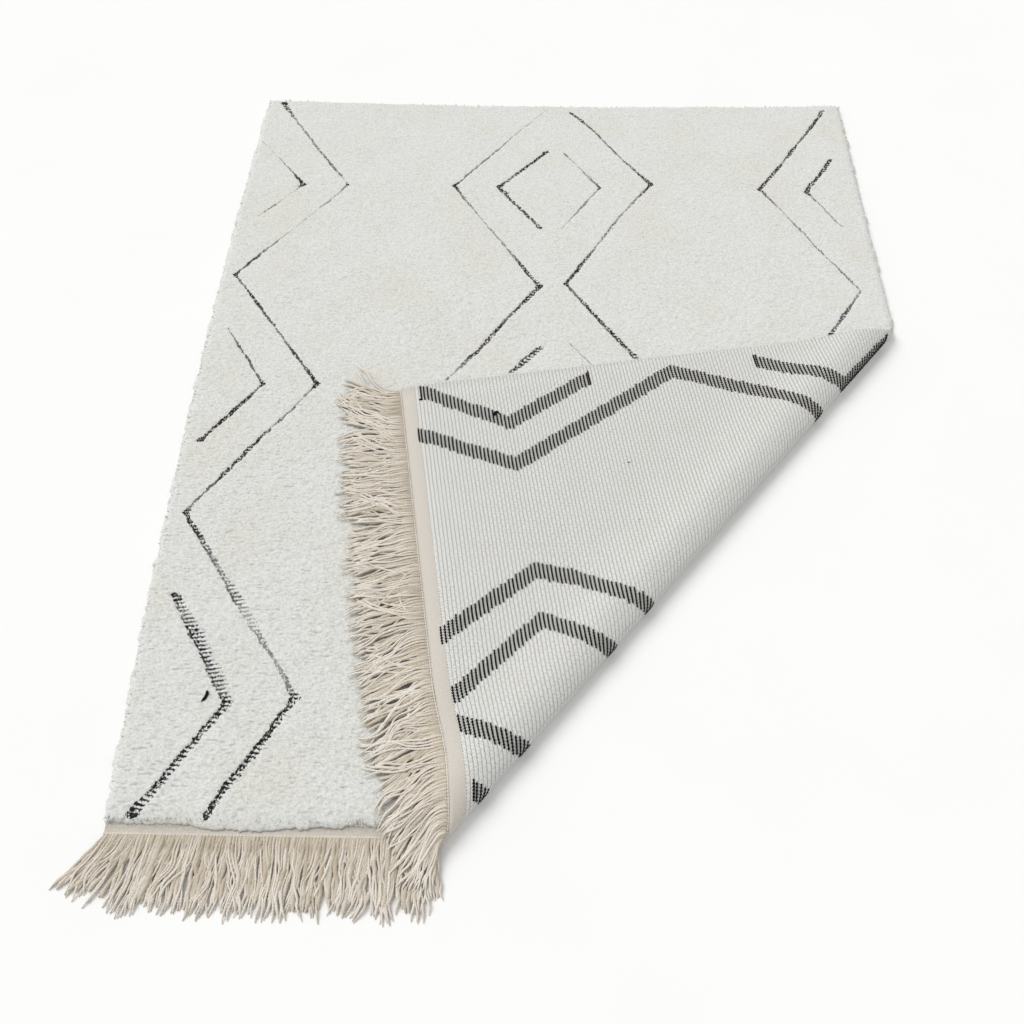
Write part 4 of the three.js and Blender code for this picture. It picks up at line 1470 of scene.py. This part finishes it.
@dataclass
class YarnPaths:
    """Paths of yarns, gathered before they grow."""

    twist: float = 0.018
    paths: list[np.ndarray] = field(default_factory=list)
    radii: list[np.ndarray] = field(default_factory=list)
    shades: list[np.ndarray] = field(default_factory=list)
    turns: list[np.ndarray] = field(default_factory=list)

    def add(self, path: np.ndarray, radius: np.ndarray, shade: np.ndarray) -> None:
        """Adds one yarn.

        Args:
            path: One row of x, y and z for each step.
            radius: Radius at each step.
            shade: How deep the colour is at each step, from 0 to 1.
        """
        run = np.concatenate([[0], np.cumsum(np.linalg.norm(np.diff(path, axis=0), axis=1))])
        self.turns.append(2 * math.pi * (run / self.twist + cell_hash(len(self.paths), 21.0)))
        self.paths.append(path)
        self.radii.append(radius)
        self.shades.append(shade)

    def join(self, other: "YarnPaths") -> None:
        """Takes over the yarns of another collection."""
        self.paths += other.paths
        self.radii += other.radii
        self.shades += other.shades
        self.turns += other.turns

    def to_mesh(self, name: str) -> Mesh:
        """Makes the seeds: a chain of edges for each yarn, with its attributes."""
        chains, first = [], 0
        for path in self.paths:
            step = np.arange(first, first + len(path) - 1)
            chains.append(np.stack([step, step + 1], axis=1))
            first += len(path)
        mesh = bpy.data.meshes.new(name)
        mesh.from_pydata(np.concatenate(self.paths).tolist(), np.concatenate(chains).tolist(), [])
        for title, values in (("yarn_radius", self.radii), ("shade", self.shades), ("yarn_turn", self.turns)):
            store_attribute(mesh, title, np.concatenate(values))
        return mesh


@dataclass
class BackDashes:
    """Charcoal wool that shows on the back: one bent dash for each row of knots along every line."""

    rug: FlatRug
    fold: CornerFold
    lattice: DiamondLattice
    length: float = 0.041
    length_spread: float = 0.003
    radius: float = 0.0026
    centre_height: float = 0.0008
    bend: float = 0.0005
    bend_middle: float = 0.4
    knot_depth: float = 0.28
    fades: tuple[float, float, float] = (0.65, 0.3, 0.5)
    jitter: float = 0.002
    selvedge_gap: float = 0.003
    crease_gap: float = 0.004
    shortest: float = 0.008
    steps: int = 15
    twist: float = 0.030
    name: str = "charcoal_back_knots"

    def build(self, group: SeedGroup, material: Material) -> Object:
        """Makes the dashes."""
        yarns = YarnPaths(self.twist)
        share = np.linspace(-1, 1, self.steps)
        for number, line in enumerate(self.lattice.lines):
            for row in self.lattice.rows_of(line):
                chance = cell_hash(row, number + 3.3)
                v = float(np.clip(self.lattice.row_centre(row), line.near, line.far))
                centre = float(line.at(v, "u")) + self.jitter * (2 * chance - 1)
                reach = (self.length + self.length_spread * (2 * cell_hash(row, number + 1.1) - 1)) / 2
                u = np.minimum(centre + reach * share, self.rug.width - self.selvedge_gap)
                near_crease = float(self.fold.distance(u.min(), v)) < self.crease_gap
                if near_crease or u.max() - u.min() < self.shortest:
                    continue
                along = v + self.bend * (share ** 2 - self.bend_middle)
                knots = np.where((np.arange(self.steps) + row) % 2, -1.0, 1.0)
                rounded = np.sqrt(np.clip(1.04 - share ** 8, 0.05, 1))
                radius = self.radius * rounded * (1 + self.knot_depth * knots)
                mean, uneven, knotted = self.fades
                faded = np.clip(mean + uneven * cell_hash(row, number + 5.5) + knotted * knots, 0, 1)
                yarns.add(self.fold.place(u, along, self.centre_height), radius, faded)
        return group.grow(self.name, yarns.to_mesh(self.name), material)


@dataclass(frozen=True)
class LooseEnd:
    """A short end of wool that lies on the rug, as flat places with one height."""

    places: tuple[tuple[float, float], ...]
    height: float
    radius: float


@dataclass
class LooseEnds:
    """Charcoal ends left by the weaver: a curl on the pile, and a loop, a knot and specks on the back."""

    fold: CornerFold
    ends: tuple[LooseEnd, ...] = (
        LooseEnd((
            (0.1462, 0.2690), (0.1468, 0.2630), (0.1448, 0.2565), (0.1412, 0.2515), (0.1380, 0.2480),
        ), 0.0195, 0.0032),
        LooseEnd(((1.4900, 0.1950), (1.4985, 0.1980), (1.5010, 0.2045), (1.4920, 0.2095)), 0.0, 0.0036),
        LooseEnd(((1.5606, 0.0375), (1.5592, 0.0420), (1.5585, 0.0455)), 0.0005, 0.0030),
        LooseEnd(((1.3287, 0.4600), (1.3283, 0.4640), (1.3287, 0.4675)), 0.0, 0.0011),
        LooseEnd(((1.4113, 0.4375), (1.4109, 0.4405)), 0.0, 0.0008),
        LooseEnd(((1.1853, 0.4550), (1.1850, 0.4580)), 0.0, 0.0009),
    )
    steps: int = 9
    name: str = "loose_charcoal_ends"

    def build(self, group: SeedGroup, material: Material) -> Object:
        """Makes the ends."""
        yarns = YarnPaths()
        share = np.linspace(0, 1, self.steps)
        for end in self.ends:
            places = np.array(end.places)
            knots = np.linspace(0, 1, len(places))
            u, v = (np.interp(share, knots, places[:, k]) for k in (0, 1))
            radius = end.radius * np.sqrt(np.clip(1.05 - np.abs(2 * share - 0.8) ** 3, 0.10, 1))
            yarns.add(self.fold.place(u, v, end.height), radius, np.full(self.steps, 0.9))
        return group.grow(self.name, yarns.to_mesh(self.name), material)


@dataclass(frozen=True)
class Lock:
    """Yarns of one layer that fall together: where their roots lie and what they share.

    The turn and the bend are in units of the layer's usual size; the curls are the size and the
    phase of two waves.
    """

    middle: float
    half: float
    turn: float
    bend: float
    size: float
    short: float
    over: float
    curls: tuple[float, ...]


@dataclass
class Fringe:
    """Plied cotton warp ends, left long in bundles, that fall in layers of loose, crossing locks."""

    rug: FlatRug
    fold: CornerFold
    steps: int = 27
    pitch: float = 0.0059
    radius: float = 0.0022
    length: float = 0.158
    length_spread: float = 0.022
    twist: float = 0.048
    gathers: Numbers = (0.0, 0.35, 0.50)
    gather_pace: float = 1.1
    matting: Numbers = (1.7, 1.05, 1.0)
    bed_shade: float = 0.15
    stray_share: float = 0.08
    lock_sizes: tuple[int, int] = (3, 7)
    lock_wave: float = 0.120
    curl_size: float = 0.0055
    quick_curl: float = 0.0028
    curl_turns: tuple[float, float] = (0.80, 1.60)
    curl_pace: float = 1.5
    lock_spread: float = 0.55
    outer_short: float = 0.35
    own_spread: float = 0.45
    bed_short: float = 6.0
    wiggles: tuple[tuple[float, float], ...] = ((0.0030, 0.55), (0.0016, 1.4), (0.0006, 3.3))
    wiggle_pace: float = 2.0
    swell: float = 0.12
    swell_turn: float = 11.0
    size_spread: tuple[float, float] = (-0.22, 0.24)
    root_sizes: tuple[float, float] = (0.72, 0.28)
    root_reach: float = 0.14
    fray: float = 0.55
    fray_start: float = 0.88
    over_shares: tuple[float, float, float] = (0.20, 0.25, 0.275)
    lift: float = 0.0050
    layer_lift: float = 0.0012
    crests: tuple[float, float] = (0.30, 0.75)
    settle_start: float = 0.85
    # Painted shade of yarns low in the heap, and painted light of those higher up.
    depth_shade: float = 0.50
    over_light: float = 0.80
    own_shade: tuple[float, float] = (0.30, 0.16)
    root_shade: float = 0.25
    root_shade_end: float = 0.30
    tip_light: float = 0.35
    tip_start: float = 0.55
    cord_radius: float = 0.0030
    cord_place: float = -0.0022
    cord_height: float = 0.0020
    bead_sizes: tuple[float, float, float] = (0.84, 0.16, 0.08)
    bead_wave: float = 0.009
    cord_shades: tuple[float, float] = (0.25, 0.15)
    cord_shade_wave: float = 0.011
    seed: int = 5

    def __post_init__(self) -> None:
        """Starts the row of seeded random numbers."""
        self.draw = np.random.default_rng(self.seed)

    def yarns(self, start: float, end: float) -> Iterator[tuple[int, float, Lock]]:
        """Every yarn with its roots from start to end: its layer, its root's place and its lock."""
        roots = even_places(start, end, self.pitch)
        for layer in range(len(self.gathers)):
            first = 0
            while first < len(roots):
                last = first + int(self.draw.integers(*self.lock_sizes, endpoint=True))
                mates = roots[first:last] + self.pitch * (layer - 1) / 3
                turn, bend, slow, quick = self.draw.normal(0, 1, 4)
                size, over, *phases = self.draw.uniform(0, 1, 4)
                loose = min(layer, 1)
                curls = (self.curl_size * slow * loose, phases[0], self.quick_curl * quick * loose, phases[1])
                half = max(np.ptp(mates) / 2, self.pitch)
                short = self.bed_short * (1 - loose)
                lock = Lock(mates.mean(), half, turn, bend, 2 * size - 1, short, over, curls)
                for u in mates:
                    yield layer, u, lock
                first = last

    def own_length(self, u: float, lock: Lock) -> float:
        """Length of one yarn: the outer ones of a lock are shorter."""
        own = self.draw.uniform(-self.own_spread, self.own_spread)
        uneven = self.lock_spread * lock.size - self.outer_short * abs(u - lock.middle) / lock.half + own
        return self.length + self.length_spread * uneven - self.radius * lock.short

    def own_over(self, layer: int, lock: Lock) -> float:
        """How far up in the heap a yarn lies, from 0 to 1."""
        own, shared, stacked = self.over_shares
        return own * self.draw.uniform() + shared * lock.over + stacked * layer

    def curl(self, share: np.ndarray, lock: Lock) -> np.ndarray:
        """Sideways place along a lock's slow curve, from none at its root."""
        slow, slow_phase, quick, quick_phase = lock.curls
        slow_turns, quick_turns = self.curl_turns
        waves = slow * np.sin(2 * math.pi * (slow_turns * share + slow_phase))
        waves = waves + quick * np.sin(2 * math.pi * (quick_turns * share + quick_phase))
        return waves * smooth(share * self.curl_pace)

    def thickness(self, share: np.ndarray, layer: int) -> np.ndarray:
        """Radius along a yarn: tight at the root, uneven, frayed at the tip and matted at the bottom."""
        phase = self.draw.uniform(0, 6)
        wave = 1 + self.swell * np.sin(share * self.swell_turn + phase) + self.draw.uniform(*self.size_spread)
        root = self.root_sizes[0] + self.root_sizes[1] * ramp(share, 0.0, self.root_reach)
        frayed = 1 - self.fray * ramp(share, self.fray_start, 1.0)
        return self.radius * self.matting[layer] * wave * root * frayed

    def colour(self, share: np.ndarray, layer: int, over: float) -> np.ndarray:
        """Shade along a yarn: painted shade, deeper low in the heap, in the matted bottom layer and at the
        root, and pale at the tip.
        """
        # Painted shade: yarns low in the heap and in the bottom layer are darker, those on top lighter.
        depth = self.depth_shade - self.over_light * over + self.bed_shade * (layer == 0)
        base = np.clip(self.draw.normal(*self.own_shade) + depth, 0, 1)
        root = self.root_shade * (1 - ramp(share, 0.0, self.root_shade_end))
        return np.clip(base + root - self.tip_light * ramp(share, self.tip_start, 1.0), 0, 1)

    def wiggle(self, share: np.ndarray) -> np.ndarray:
        """Side to side wandering of a yarn, from none at its root."""
        waves = sum(
            self.draw.normal(0, size) * np.sin(2 * math.pi * (share * turns + self.draw.uniform()))
            for size, turns in self.wiggles
        )
        return waves * smooth(share * self.wiggle_pace)

    def rise(self, share: np.ndarray, layer: int, over: float) -> np.ndarray:
        """Lift of a yarn over the ones below it, from its root to its tip."""
        crest = self.draw.uniform(*self.crests)
        arch = np.where(share < crest, share / crest, (1 - share) / (1 - crest))
        carried = self.layer_lift * layer * (1 - ramp(share, self.settle_start, 1.0))
        return self.lift * over * smooth(arch) ** 0.5 + carried

    def add_heading(self, yarns: YarnPaths, start: float, end: float) -> None:
        """Adds the twined cord that binds the yarns' roots, with a bead over every bundle."""
        u = even_places(start, end, self.pitch / 4)
        cord = YarnPaths(2 * self.pitch)
        path = self.fold.place(u, np.full_like(u, self.cord_place), self.cord_height)
        mean, bead, uneven = self.bead_sizes
        beads = mean + bead * np.cos(2 * math.pi * (u - start) / self.pitch)
        beads = beads + uneven * soft_noise(u / self.bead_wave, 0.5)
        shade = self.cord_shades[0] + self.cord_shades[1] * soft_noise(u / self.cord_shade_wave, 3.5)
        cord.add(path, self.cord_radius * beads, shade)
        yarns.join(cord)


@dataclass
class FloorFringe(Fringe):
    """Fringe of the near edge: it starts on the end band and spreads on the floor."""

    length: float = 0.128
    length_spread: float = 0.017
    root_place: float = 0.0085
    cord_place: float = 0.0108
    cord_height: float = 0.0050
    edge_gaps: tuple[float, float] = (0.005, 0.004)
    step_down: tuple[float, float] = (0.7, 3.2)
    mean_sway: float = -0.010
    sway: float = 0.010
    own_sway: float = 0.006
    stray_sway: float = 0.030
    lock_sways: tuple[float, ...] = (0.002, 0.015, 0.024)
    sway_power: float = 1.15
    most_sway: float = 0.022
    matting: tuple[float, ...] = (1.95, 1.15, 1.0)
    curl_size: float = 0.0075
    left_sweep: float = 0.104
    left_reach: float = 0.072
    name: str = "floor_fringe_yarns"

    def build(self, group: SeedGroup, material: Material) -> Object:
        """Makes the yarns that lie on the floor."""
        paths = YarnPaths(self.twist)
        end = float(self.fold.u_at(0.0, np.array(0.0)))
        share = np.linspace(0, 1, self.steps)
        for layer, u, lock in self.yarns(self.edge_gaps[0], end - self.edge_gaps[1]):
            stray = self.draw.uniform() < self.stray_share * layer
            sway = self.mean_sway + self.sway * float(soft_noise(u / self.lock_wave + 3.3, 1.5))
            sway -= self.left_sweep * math.exp(-u / self.left_reach)
            own_sway = self.draw.normal(0, self.stray_sway if stray else self.own_sway)
            sway += self.lock_sways[layer] * lock.turn + own_sway
            sway = min(sway, self.most_sway)
            length = self.own_length(u, lock) * math.cos(math.atan(sway / self.length))
            root = self.fold.place(u, self.root_place, self.rug.ground)[0]
            ahead = length * share
            aside = sway * (ahead / self.length) ** self.sway_power + self.wiggle(share)
            if not stray:
                gathered = (lock.middle - u) * self.gathers[layer] * smooth(share * self.gather_pace)
                aside += gathered + self.curl(share, lock)
            radius = self.thickness(share, layer)
            over = self.own_over(layer, lock)
            held, let_go = (share_of_root * self.root_place for share_of_root in self.step_down)
            on_band = self.rug.ground * (1 - ramp(ahead, held, let_go))
            height = on_band + radius + self.rise(share, layer, over)
            path = np.stack([root[0] + aside, root[1] - ahead, height], axis=1)
            paths.add(path, radius, self.colour(share, layer, over))
        self.add_heading(paths, 0.0, end)
        return group.grow(self.name, paths.to_mesh(self.name), material)


@dataclass
class FlapFringe(Fringe):
    """Fringe of the turned back edge, fallen onto the pile, the other fringe and the floor."""

    pitch: float = 0.0062
    edge_gap: float = 0.005
    root_sink: float = 0.0045
    depth_shade: float = 0.45
    own_turn: float = 0.06
    stray_turn: float = 0.40
    stray_share: float = 0.07
    length_shares: tuple[tuple[float, float], ...] = (
        (0.566, 0.54), (0.600, 0.66), (0.640, 0.86), (0.700, 1.0),
    )
    headings: tuple[tuple[float, float], ...] = (
        (0.566, -84.0), (0.600, -84.0), (0.620, -106.0), (0.650, -122.0), (0.700, -134.0), (0.800, -146.0),
        (0.900, -152.0), (1.100, -161.0), (1.350, -173.0), (1.540, -185.0), (1.600, -203.0),
    )
    wander: float = 0.10
    lock_turns: tuple[float, ...] = (0.02, 0.16, 0.26)
    lock_bends: tuple[float, ...] = (0.05, 0.35, 0.50)
    held_until: float = 0.72
    held_share: float = 0.55
    held_turn: float = 0.10
    pile_rest: float = 0.0216
    fringe_rest: float = 0.0080
    floor_roots_end: float = 0.602
    ramp_foot: float = 0.012
    pile_shoulder: float = 0.048
    fall_reach: float = 0.100
    leave_reach: float = 0.050
    plan_share: float = 0.93
    name: str = "flap_fringe_yarns"

    def rest_height(self, y: np.ndarray, root_u: float) -> np.ndarray:
        """Height that carries a yarn over a place: pile, the other fringe or bare floor."""
        on_fringe = 0.0 if root_u < self.floor_roots_end else self.fringe_rest
        v = y + self.rug.length / 2
        on_pile = np.clip((v + self.ramp_foot) / (self.pile_shoulder + self.ramp_foot), 0, 1)
        return on_fringe + (self.pile_rest - on_fringe) * on_pile

    def course(self, u: float, turn: float, curl: float, length: float) -> np.ndarray:
        """Plan and height of the middle of a yarn.

        Args:
            u: Place of the root across the rug.
            turn: Turn of the yarn's lock from the heading there, in radians.
            curl: Further turn that the yarn takes up to its tip, in radians.
            length: Length of the yarn.

        Returns:
            One row of x, y and z for each step.
        """
        ends = self.fold.place([u, u], [-self.root_sink, -self.root_sink - 0.001], self.rug.ground / 2)
        leave = (ends[1] - ends[0]) / np.linalg.norm(ends[1] - ends[0])
        table = np.array(self.headings)
        heading = math.radians(float(np.interp(u, table[:, 0], table[:, 1])))
        heading += self.wander * float(soft_noise(u / self.lock_wave, 8.5)) + turn
        stride = length * self.plan_share / (self.steps - 1)
        run = (np.arange(self.steps - 1) + 0.5) * stride
        turned = smooth(run / self.leave_reach)[:, None]
        bearing = heading + curl * (run / length) ** 1.5
        lay = np.stack([np.cos(bearing), np.sin(bearing)], axis=1)
        plan = np.cumsum((leave[:2] * (1 - turned) + lay * turned) * stride, axis=0)
        plan = ends[0][:2] + np.concatenate([[[0.0, 0.0]], plan])
        fallen = np.clip(1 - np.arange(self.steps) * stride / self.fall_reach, 0, 1) ** 2
        carried = self.rest_height(plan[:, 1], u)
        height = carried + np.maximum(ends[0][2] - carried, 0) * fallen
        return np.column_stack([plan, height])

    def build(self, group: SeedGroup, material: Material) -> Object:
        """Makes the yarns that fall from the flap."""
        paths = YarnPaths(self.twist)
        start = float(self.fold.u_at(0.0, np.array(0.0)))
        share = np.linspace(0, 1, self.steps)
        for layer, u, lock in self.yarns(start + self.edge_gap, self.rug.width - self.edge_gap):
            stray = self.draw.uniform() < self.stray_share * layer
            held = u < self.held_until
            free = self.held_share if held else 1.0
            own_turn = self.draw.normal(0, self.stray_turn if stray else self.own_turn)
            turn = (self.lock_turns[layer] * lock.turn + own_turn) * free
            bend = self.lock_bends[layer] * lock.bend * free
            if held:
                turn = min(turn, self.held_turn)
                bend = min(bend, self.held_turn)
            length = self.own_length(u, lock) * float(np.interp(u, *zip(*self.length_shares)))
            path = self.course(u, turn, bend, length)
            aside = self.wiggle(share)
            if not stray:
                near = (self.gathers[layer] * smooth(share * self.gather_pace))[:, None]
                path = path * (1 - near) + self.course(lock.middle, turn, bend, length) * near
                aside += self.curl(share, lock) * free
            ahead = np.gradient(path[:, :2], axis=0)
            ahead /= np.linalg.norm(ahead, axis=1, keepdims=True)
            path[:, :2] += np.stack([ahead[:, 1], -ahead[:, 0]], axis=1) * aside[:, None]
            over = self.own_over(layer, lock)
            radius = self.thickness(share, layer)
            path[:, 2] += radius + self.rise(share, layer, over)
            path[0, 2] -= radius[0]
            paths.add(path, radius, self.colour(share, layer, over))
        self.add_heading(paths, start, self.rug.width)
        return group.grow(self.name, paths.to_mesh(self.name), material)


@dataclass
class EdgeTufts:
    """Tufts that stand out round the pile's rim, and the charcoal ones along the lines."""

    rug: FlatRug
    fold: CornerFold
    pile: WoolPile
    spacing: float = 0.0066
    inset: float = 0.006
    edge_gap: float = 0.002
    band_gap: float = 0.003
    crease_gaps: tuple[float, float] = (0.01, 0.02)
    rim_layers: tuple[Numbers, ...] = ((0.006, 0.010, 0.0), (0.011, 0.015, 0.4))
    scatter: float = 0.0018
    lean_spread: float = 0.45
    rim_sizes: tuple[float, float] = (0.45, 0.70)
    dark_half: float = 0.010
    dark_spacing: float = 0.0060
    dark_sink: float = 0.0055
    dark_gaps: tuple[float, float, float] = (0.008, 0.004, 0.006)
    dark_shares: tuple[float, float] = (0.05, 0.30)
    dark_tilts: tuple[float, float] = (0.5, 1.3)
    dark_scatter: tuple[float, float] = (0.0012, 0.0020)
    dark_sizes: tuple[float, float] = (0.40, 0.72)
    seed: int = 23

    def __post_init__(self) -> None:
        """Starts the row of seeded random numbers."""
        self.draw = np.random.default_rng(self.seed)

    def _seeds(self, name: str, places: np.ndarray, lean: np.ndarray, size: np.ndarray, dark: bool) -> Mesh:
        """Makes a mesh of loose points with the attributes that the tufts and their wool read."""
        mesh = bpy.data.meshes.new(name)
        mesh.vertices.add(len(places))
        mesh.vertices.foreach_set("co", places.astype(np.float32).ravel())
        marks = (0.0, self.dark_half, 0.5) if dark else self.pile.lattice.unmarked
        attributes = {
            "lean": lean, "size": size, "dye": np.tile(marks, (len(places), 1)),
            "ink": np.full(len(places), 2.0 * dark), "painted_hollow_shade": np.zeros(len(places)),
        }
        for title, values in attributes.items():
            store_attribute(mesh, title, values)
        return mesh

    def rim(self, group: SeedGroup, material: Material) -> Object:
        """Makes the cream tufts round the open edges of the pile."""
        rug = self.rug
        inset, gap = self.inset, self.edge_gap
        along_left = np.arange(rug.band + self.band_gap, rug.length - gap, self.spacing)
        along_right = np.arange(self.fold.crease_end[1] + self.crease_gaps[0], rug.length - gap, self.spacing)
        across_far = np.arange(gap, rug.width - gap, self.spacing)
        across_near = np.arange(gap, self.fold.crease_start[0] - self.crease_gaps[1], self.spacing)
        sides = (
            (np.full_like(along_left, inset), along_left, (-1.0, 0.0)),
            (np.full_like(along_right, rug.width - inset), along_right, (1.0, 0.0)),
            (across_far, np.full_like(across_far, rug.length - inset), (0.0, 1.0)),
            (across_near, np.full_like(across_near, rug.band + inset), (0.0, -1.0)),
        )
        places, leans = [], []
        for u, v, way in sides:
            for low, high, lifted in self.rim_layers:
                moved_u = u + self.draw.normal(0, self.scatter, len(u))
                moved_v = v + self.draw.normal(0, self.scatter, len(u))
                places.append(self.fold.place(moved_u, moved_v, self.draw.uniform(low, high, len(u))))
                lean = np.stack([
                    np.full(len(u), way[0]) + self.draw.normal(0, self.lean_spread, len(u)),
                    np.full(len(u), way[1]) + self.draw.normal(0, self.lean_spread, len(u)),
                    self.draw.uniform(0.0, 0.7, len(u)) + lifted,
                ], axis=1)
                leans.append(lean)
        places, leans = np.concatenate(places), np.concatenate(leans)
        size = self.draw.uniform(*self.rim_sizes, len(places))
        seeds = self._seeds("pile_rim_tufts", places, leans, size, False)
        return group.grow("pile_rim_tufts", seeds, material)

    def charcoal(self, group: SeedGroup, lattice: DiamondLattice, material: Material) -> Object:
        """Makes the charcoal tufts that stand in the lines of the lattice."""
        knots = lattice.knots(self.dark_spacing)
        u, v = knots["u"], knots["v"]
        left, right, far = self.dark_gaps
        shown = (u > left) & (u < self.pile.hidden_from(v) - right) & (v < self.rug.length - far)
        fewest, more = self.dark_shares
        shown &= self.draw.uniform(0, 1, len(u)) < fewest + more * knots["ink"]
        u, v, ink = (column[shown] for column in (u, v, knots["ink"]))
        u = u + self.draw.normal(0, self.dark_scatter[0], len(u))
        v = v + self.draw.normal(0, self.dark_scatter[1], len(u))
        places = self.fold.place(u, v, self.rug.pile_top - self.dark_sink)
        way = self.draw.uniform(0, 2 * math.pi, len(u))
        tilt = self.draw.uniform(*self.dark_tilts, len(u))
        lean = np.stack([np.cos(way) * tilt, np.sin(way) * tilt * 0.5, np.ones(len(u))], axis=1)
        size = self.draw.uniform(*self.dark_sizes, len(u)) * (0.7 + 0.3 * ink)
        seeds = self._seeds("charcoal_line_tufts", places, lean, size, True)
        return group.grow("charcoal_line_tufts", seeds, material)


@dataclass
class Studio:
    """White floor, soft daylight from the upper left and the camera that took the photograph."""

    floor_size: float = 14.0
    floor_gap: float = 0.0004
    camera_place: tuple[float, float, float] = (-0.0773, -1.3409, 1.7152)
    camera_pitch: float = 1.0368
    camera_yaw: float = -0.0176
    camera_roll: float = -0.0013
    lens: float = 33.15
    world_strength: float = 0.62
    key_from: tuple[float, float, float] = (-0.62, 0.38, 1.0)
    key_spread: float = math.radians(38)
    key_strength: float = 1.75

    def build_floor(self, material: Material) -> Object:
        """Makes the floor."""
        half = self.floor_size / 2
        draft = MeshDraft()
        corners = [(-half, -half), (half, -half), (half, half), (-half, half)]
        draft.add_points(np.array([(x, y, -self.floor_gap) for x, y in corners]))
        draft.add_faces(np.array([[0, 1, 2, 3]]))
        return draft.to_object("studio_floor", {}, material)

    def build_light(self) -> None:
        """Makes the even white surroundings and the large soft light."""
        world = bpy.data.worlds.new("white_surroundings")
        world.use_nodes = True
        background = world.node_tree.nodes["Background"]
        background.inputs["Color"].default_value = (1.0, 1.0, 1.0, 1.0)
        background.inputs["Strength"].default_value = self.world_strength
        bpy.context.scene.world = world
        light = bpy.data.lights.new("soft_daylight", "SUN")
        light.angle = self.key_spread
        light.energy = self.key_strength
        lamp = bpy.data.objects.new("soft_daylight", light)
        lamp.rotation_euler = (-Vector(self.key_from)).to_track_quat("-Z", "Y").to_euler()
        bpy.context.scene.collection.objects.link(lamp)

    def build_camera(self) -> None:
        """Makes the camera at the photograph's place and angle."""
        pitch, yaw = self.camera_pitch, self.camera_yaw
        forward = Vector((math.sin(yaw) * math.cos(pitch), math.cos(yaw) * math.cos(pitch), -math.sin(pitch)))
        right = Vector((math.cos(yaw), -math.sin(yaw), 0.0))
        up = right.cross(forward)
        cos_roll, sin_roll = math.cos(self.camera_roll), math.sin(self.camera_roll)
        right, up = cos_roll * right + sin_roll * up, cos_roll * up - sin_roll * right
        turn = Matrix((right, up, -forward)).transposed().to_4x4()
        data = bpy.data.cameras.new("photo_camera")
        data.lens = self.lens
        data.sensor_width = 36.0
        camera = bpy.data.objects.new("photo_camera", data)
        camera.matrix_world = Matrix.Translation(Vector(self.camera_place)) @ turn
        bpy.context.scene.collection.objects.link(camera)
        bpy.context.scene.camera = camera

    def build_view(self) -> None:
        """Shows colours as they are, without a film curve."""
        view = bpy.context.scene.view_settings
        view.view_transform = "Standard"
        view.look = "None"


def report(piece: Object) -> None:
    """Logs a piece's name and its number of triangles."""
    triangles = sum(len(polygon.vertices) - 2 for polygon in piece.data.polygons)
    LOG.info("%s: %d triangles", piece.name, triangles)


def main() -> None:
    """Builds every piece and the studio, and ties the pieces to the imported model."""
    logging.basicConfig(level=logging.INFO, format="%(message)s")
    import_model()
    rug = FlatRug()
    fold = CornerFold(rug)
    lattice = DiamondLattice(rug)
    wool = WoolPileFinish().build()
    back = KnottedBackFinish(rug).build()
    band = CottonBandFinish().build()
    cotton = YarnFinish("plied_cotton_fringe", "#E9E2D7", "#C2B6A3", "#998D7A").build()
    charcoal = YarnFinish(
        "charcoal_wool_yarn", "#403E3C", "#0D0C0C", "#080707", sheen=0.02, groove_share=0.2,
    ).build()

    studio = Studio()
    studio.build_camera()
    studio.build_light()
    studio.build_view()
    studio.build_floor(FloorFinish().build())

    cloth = GroundCloth(rug, fold)
    ground = cloth.build(back, band)
    pile = WoolPile(rug, fold, lattice, cloth)
    wool_pieces = [pile.build_stretch(stretch, wool) for stretch in pile.stretches]
    wool_pieces.append(pile.build_folded(wool))
    tufts = TuftGroup().build()
    edge = EdgeTufts(rug, fold, pile)
    wool_pieces.append(edge.rim(tufts, wool))
    wool_pieces.append(edge.charcoal(tufts, lattice, wool))
    yarns = YarnGroup(sides=6, waist=0.15).build()
    flat_yarns = YarnGroup(sides=6, waist=0.04).build()
    wool_pieces.append(BackDashes(rug, fold, lattice).build(flat_yarns, charcoal))
    wool_pieces.append(LooseEnds(fold).build(flat_yarns, charcoal))
    floor_fringe = FloorFringe(rug, fold).build(yarns, cotton)
    flap_fringe = FlapFringe(rug, fold).build(yarns, cotton)

    for piece in (ground, *wool_pieces):
        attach(piece, "root")
        report(piece)
    for piece, node in ((floor_fringe, "fringe_floor"), (flap_fringe, "fringe_flap")):
        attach(piece, "root")
        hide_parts(node)
        report(piece)
    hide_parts("rug")


if __name__ == "__main__":
    main()
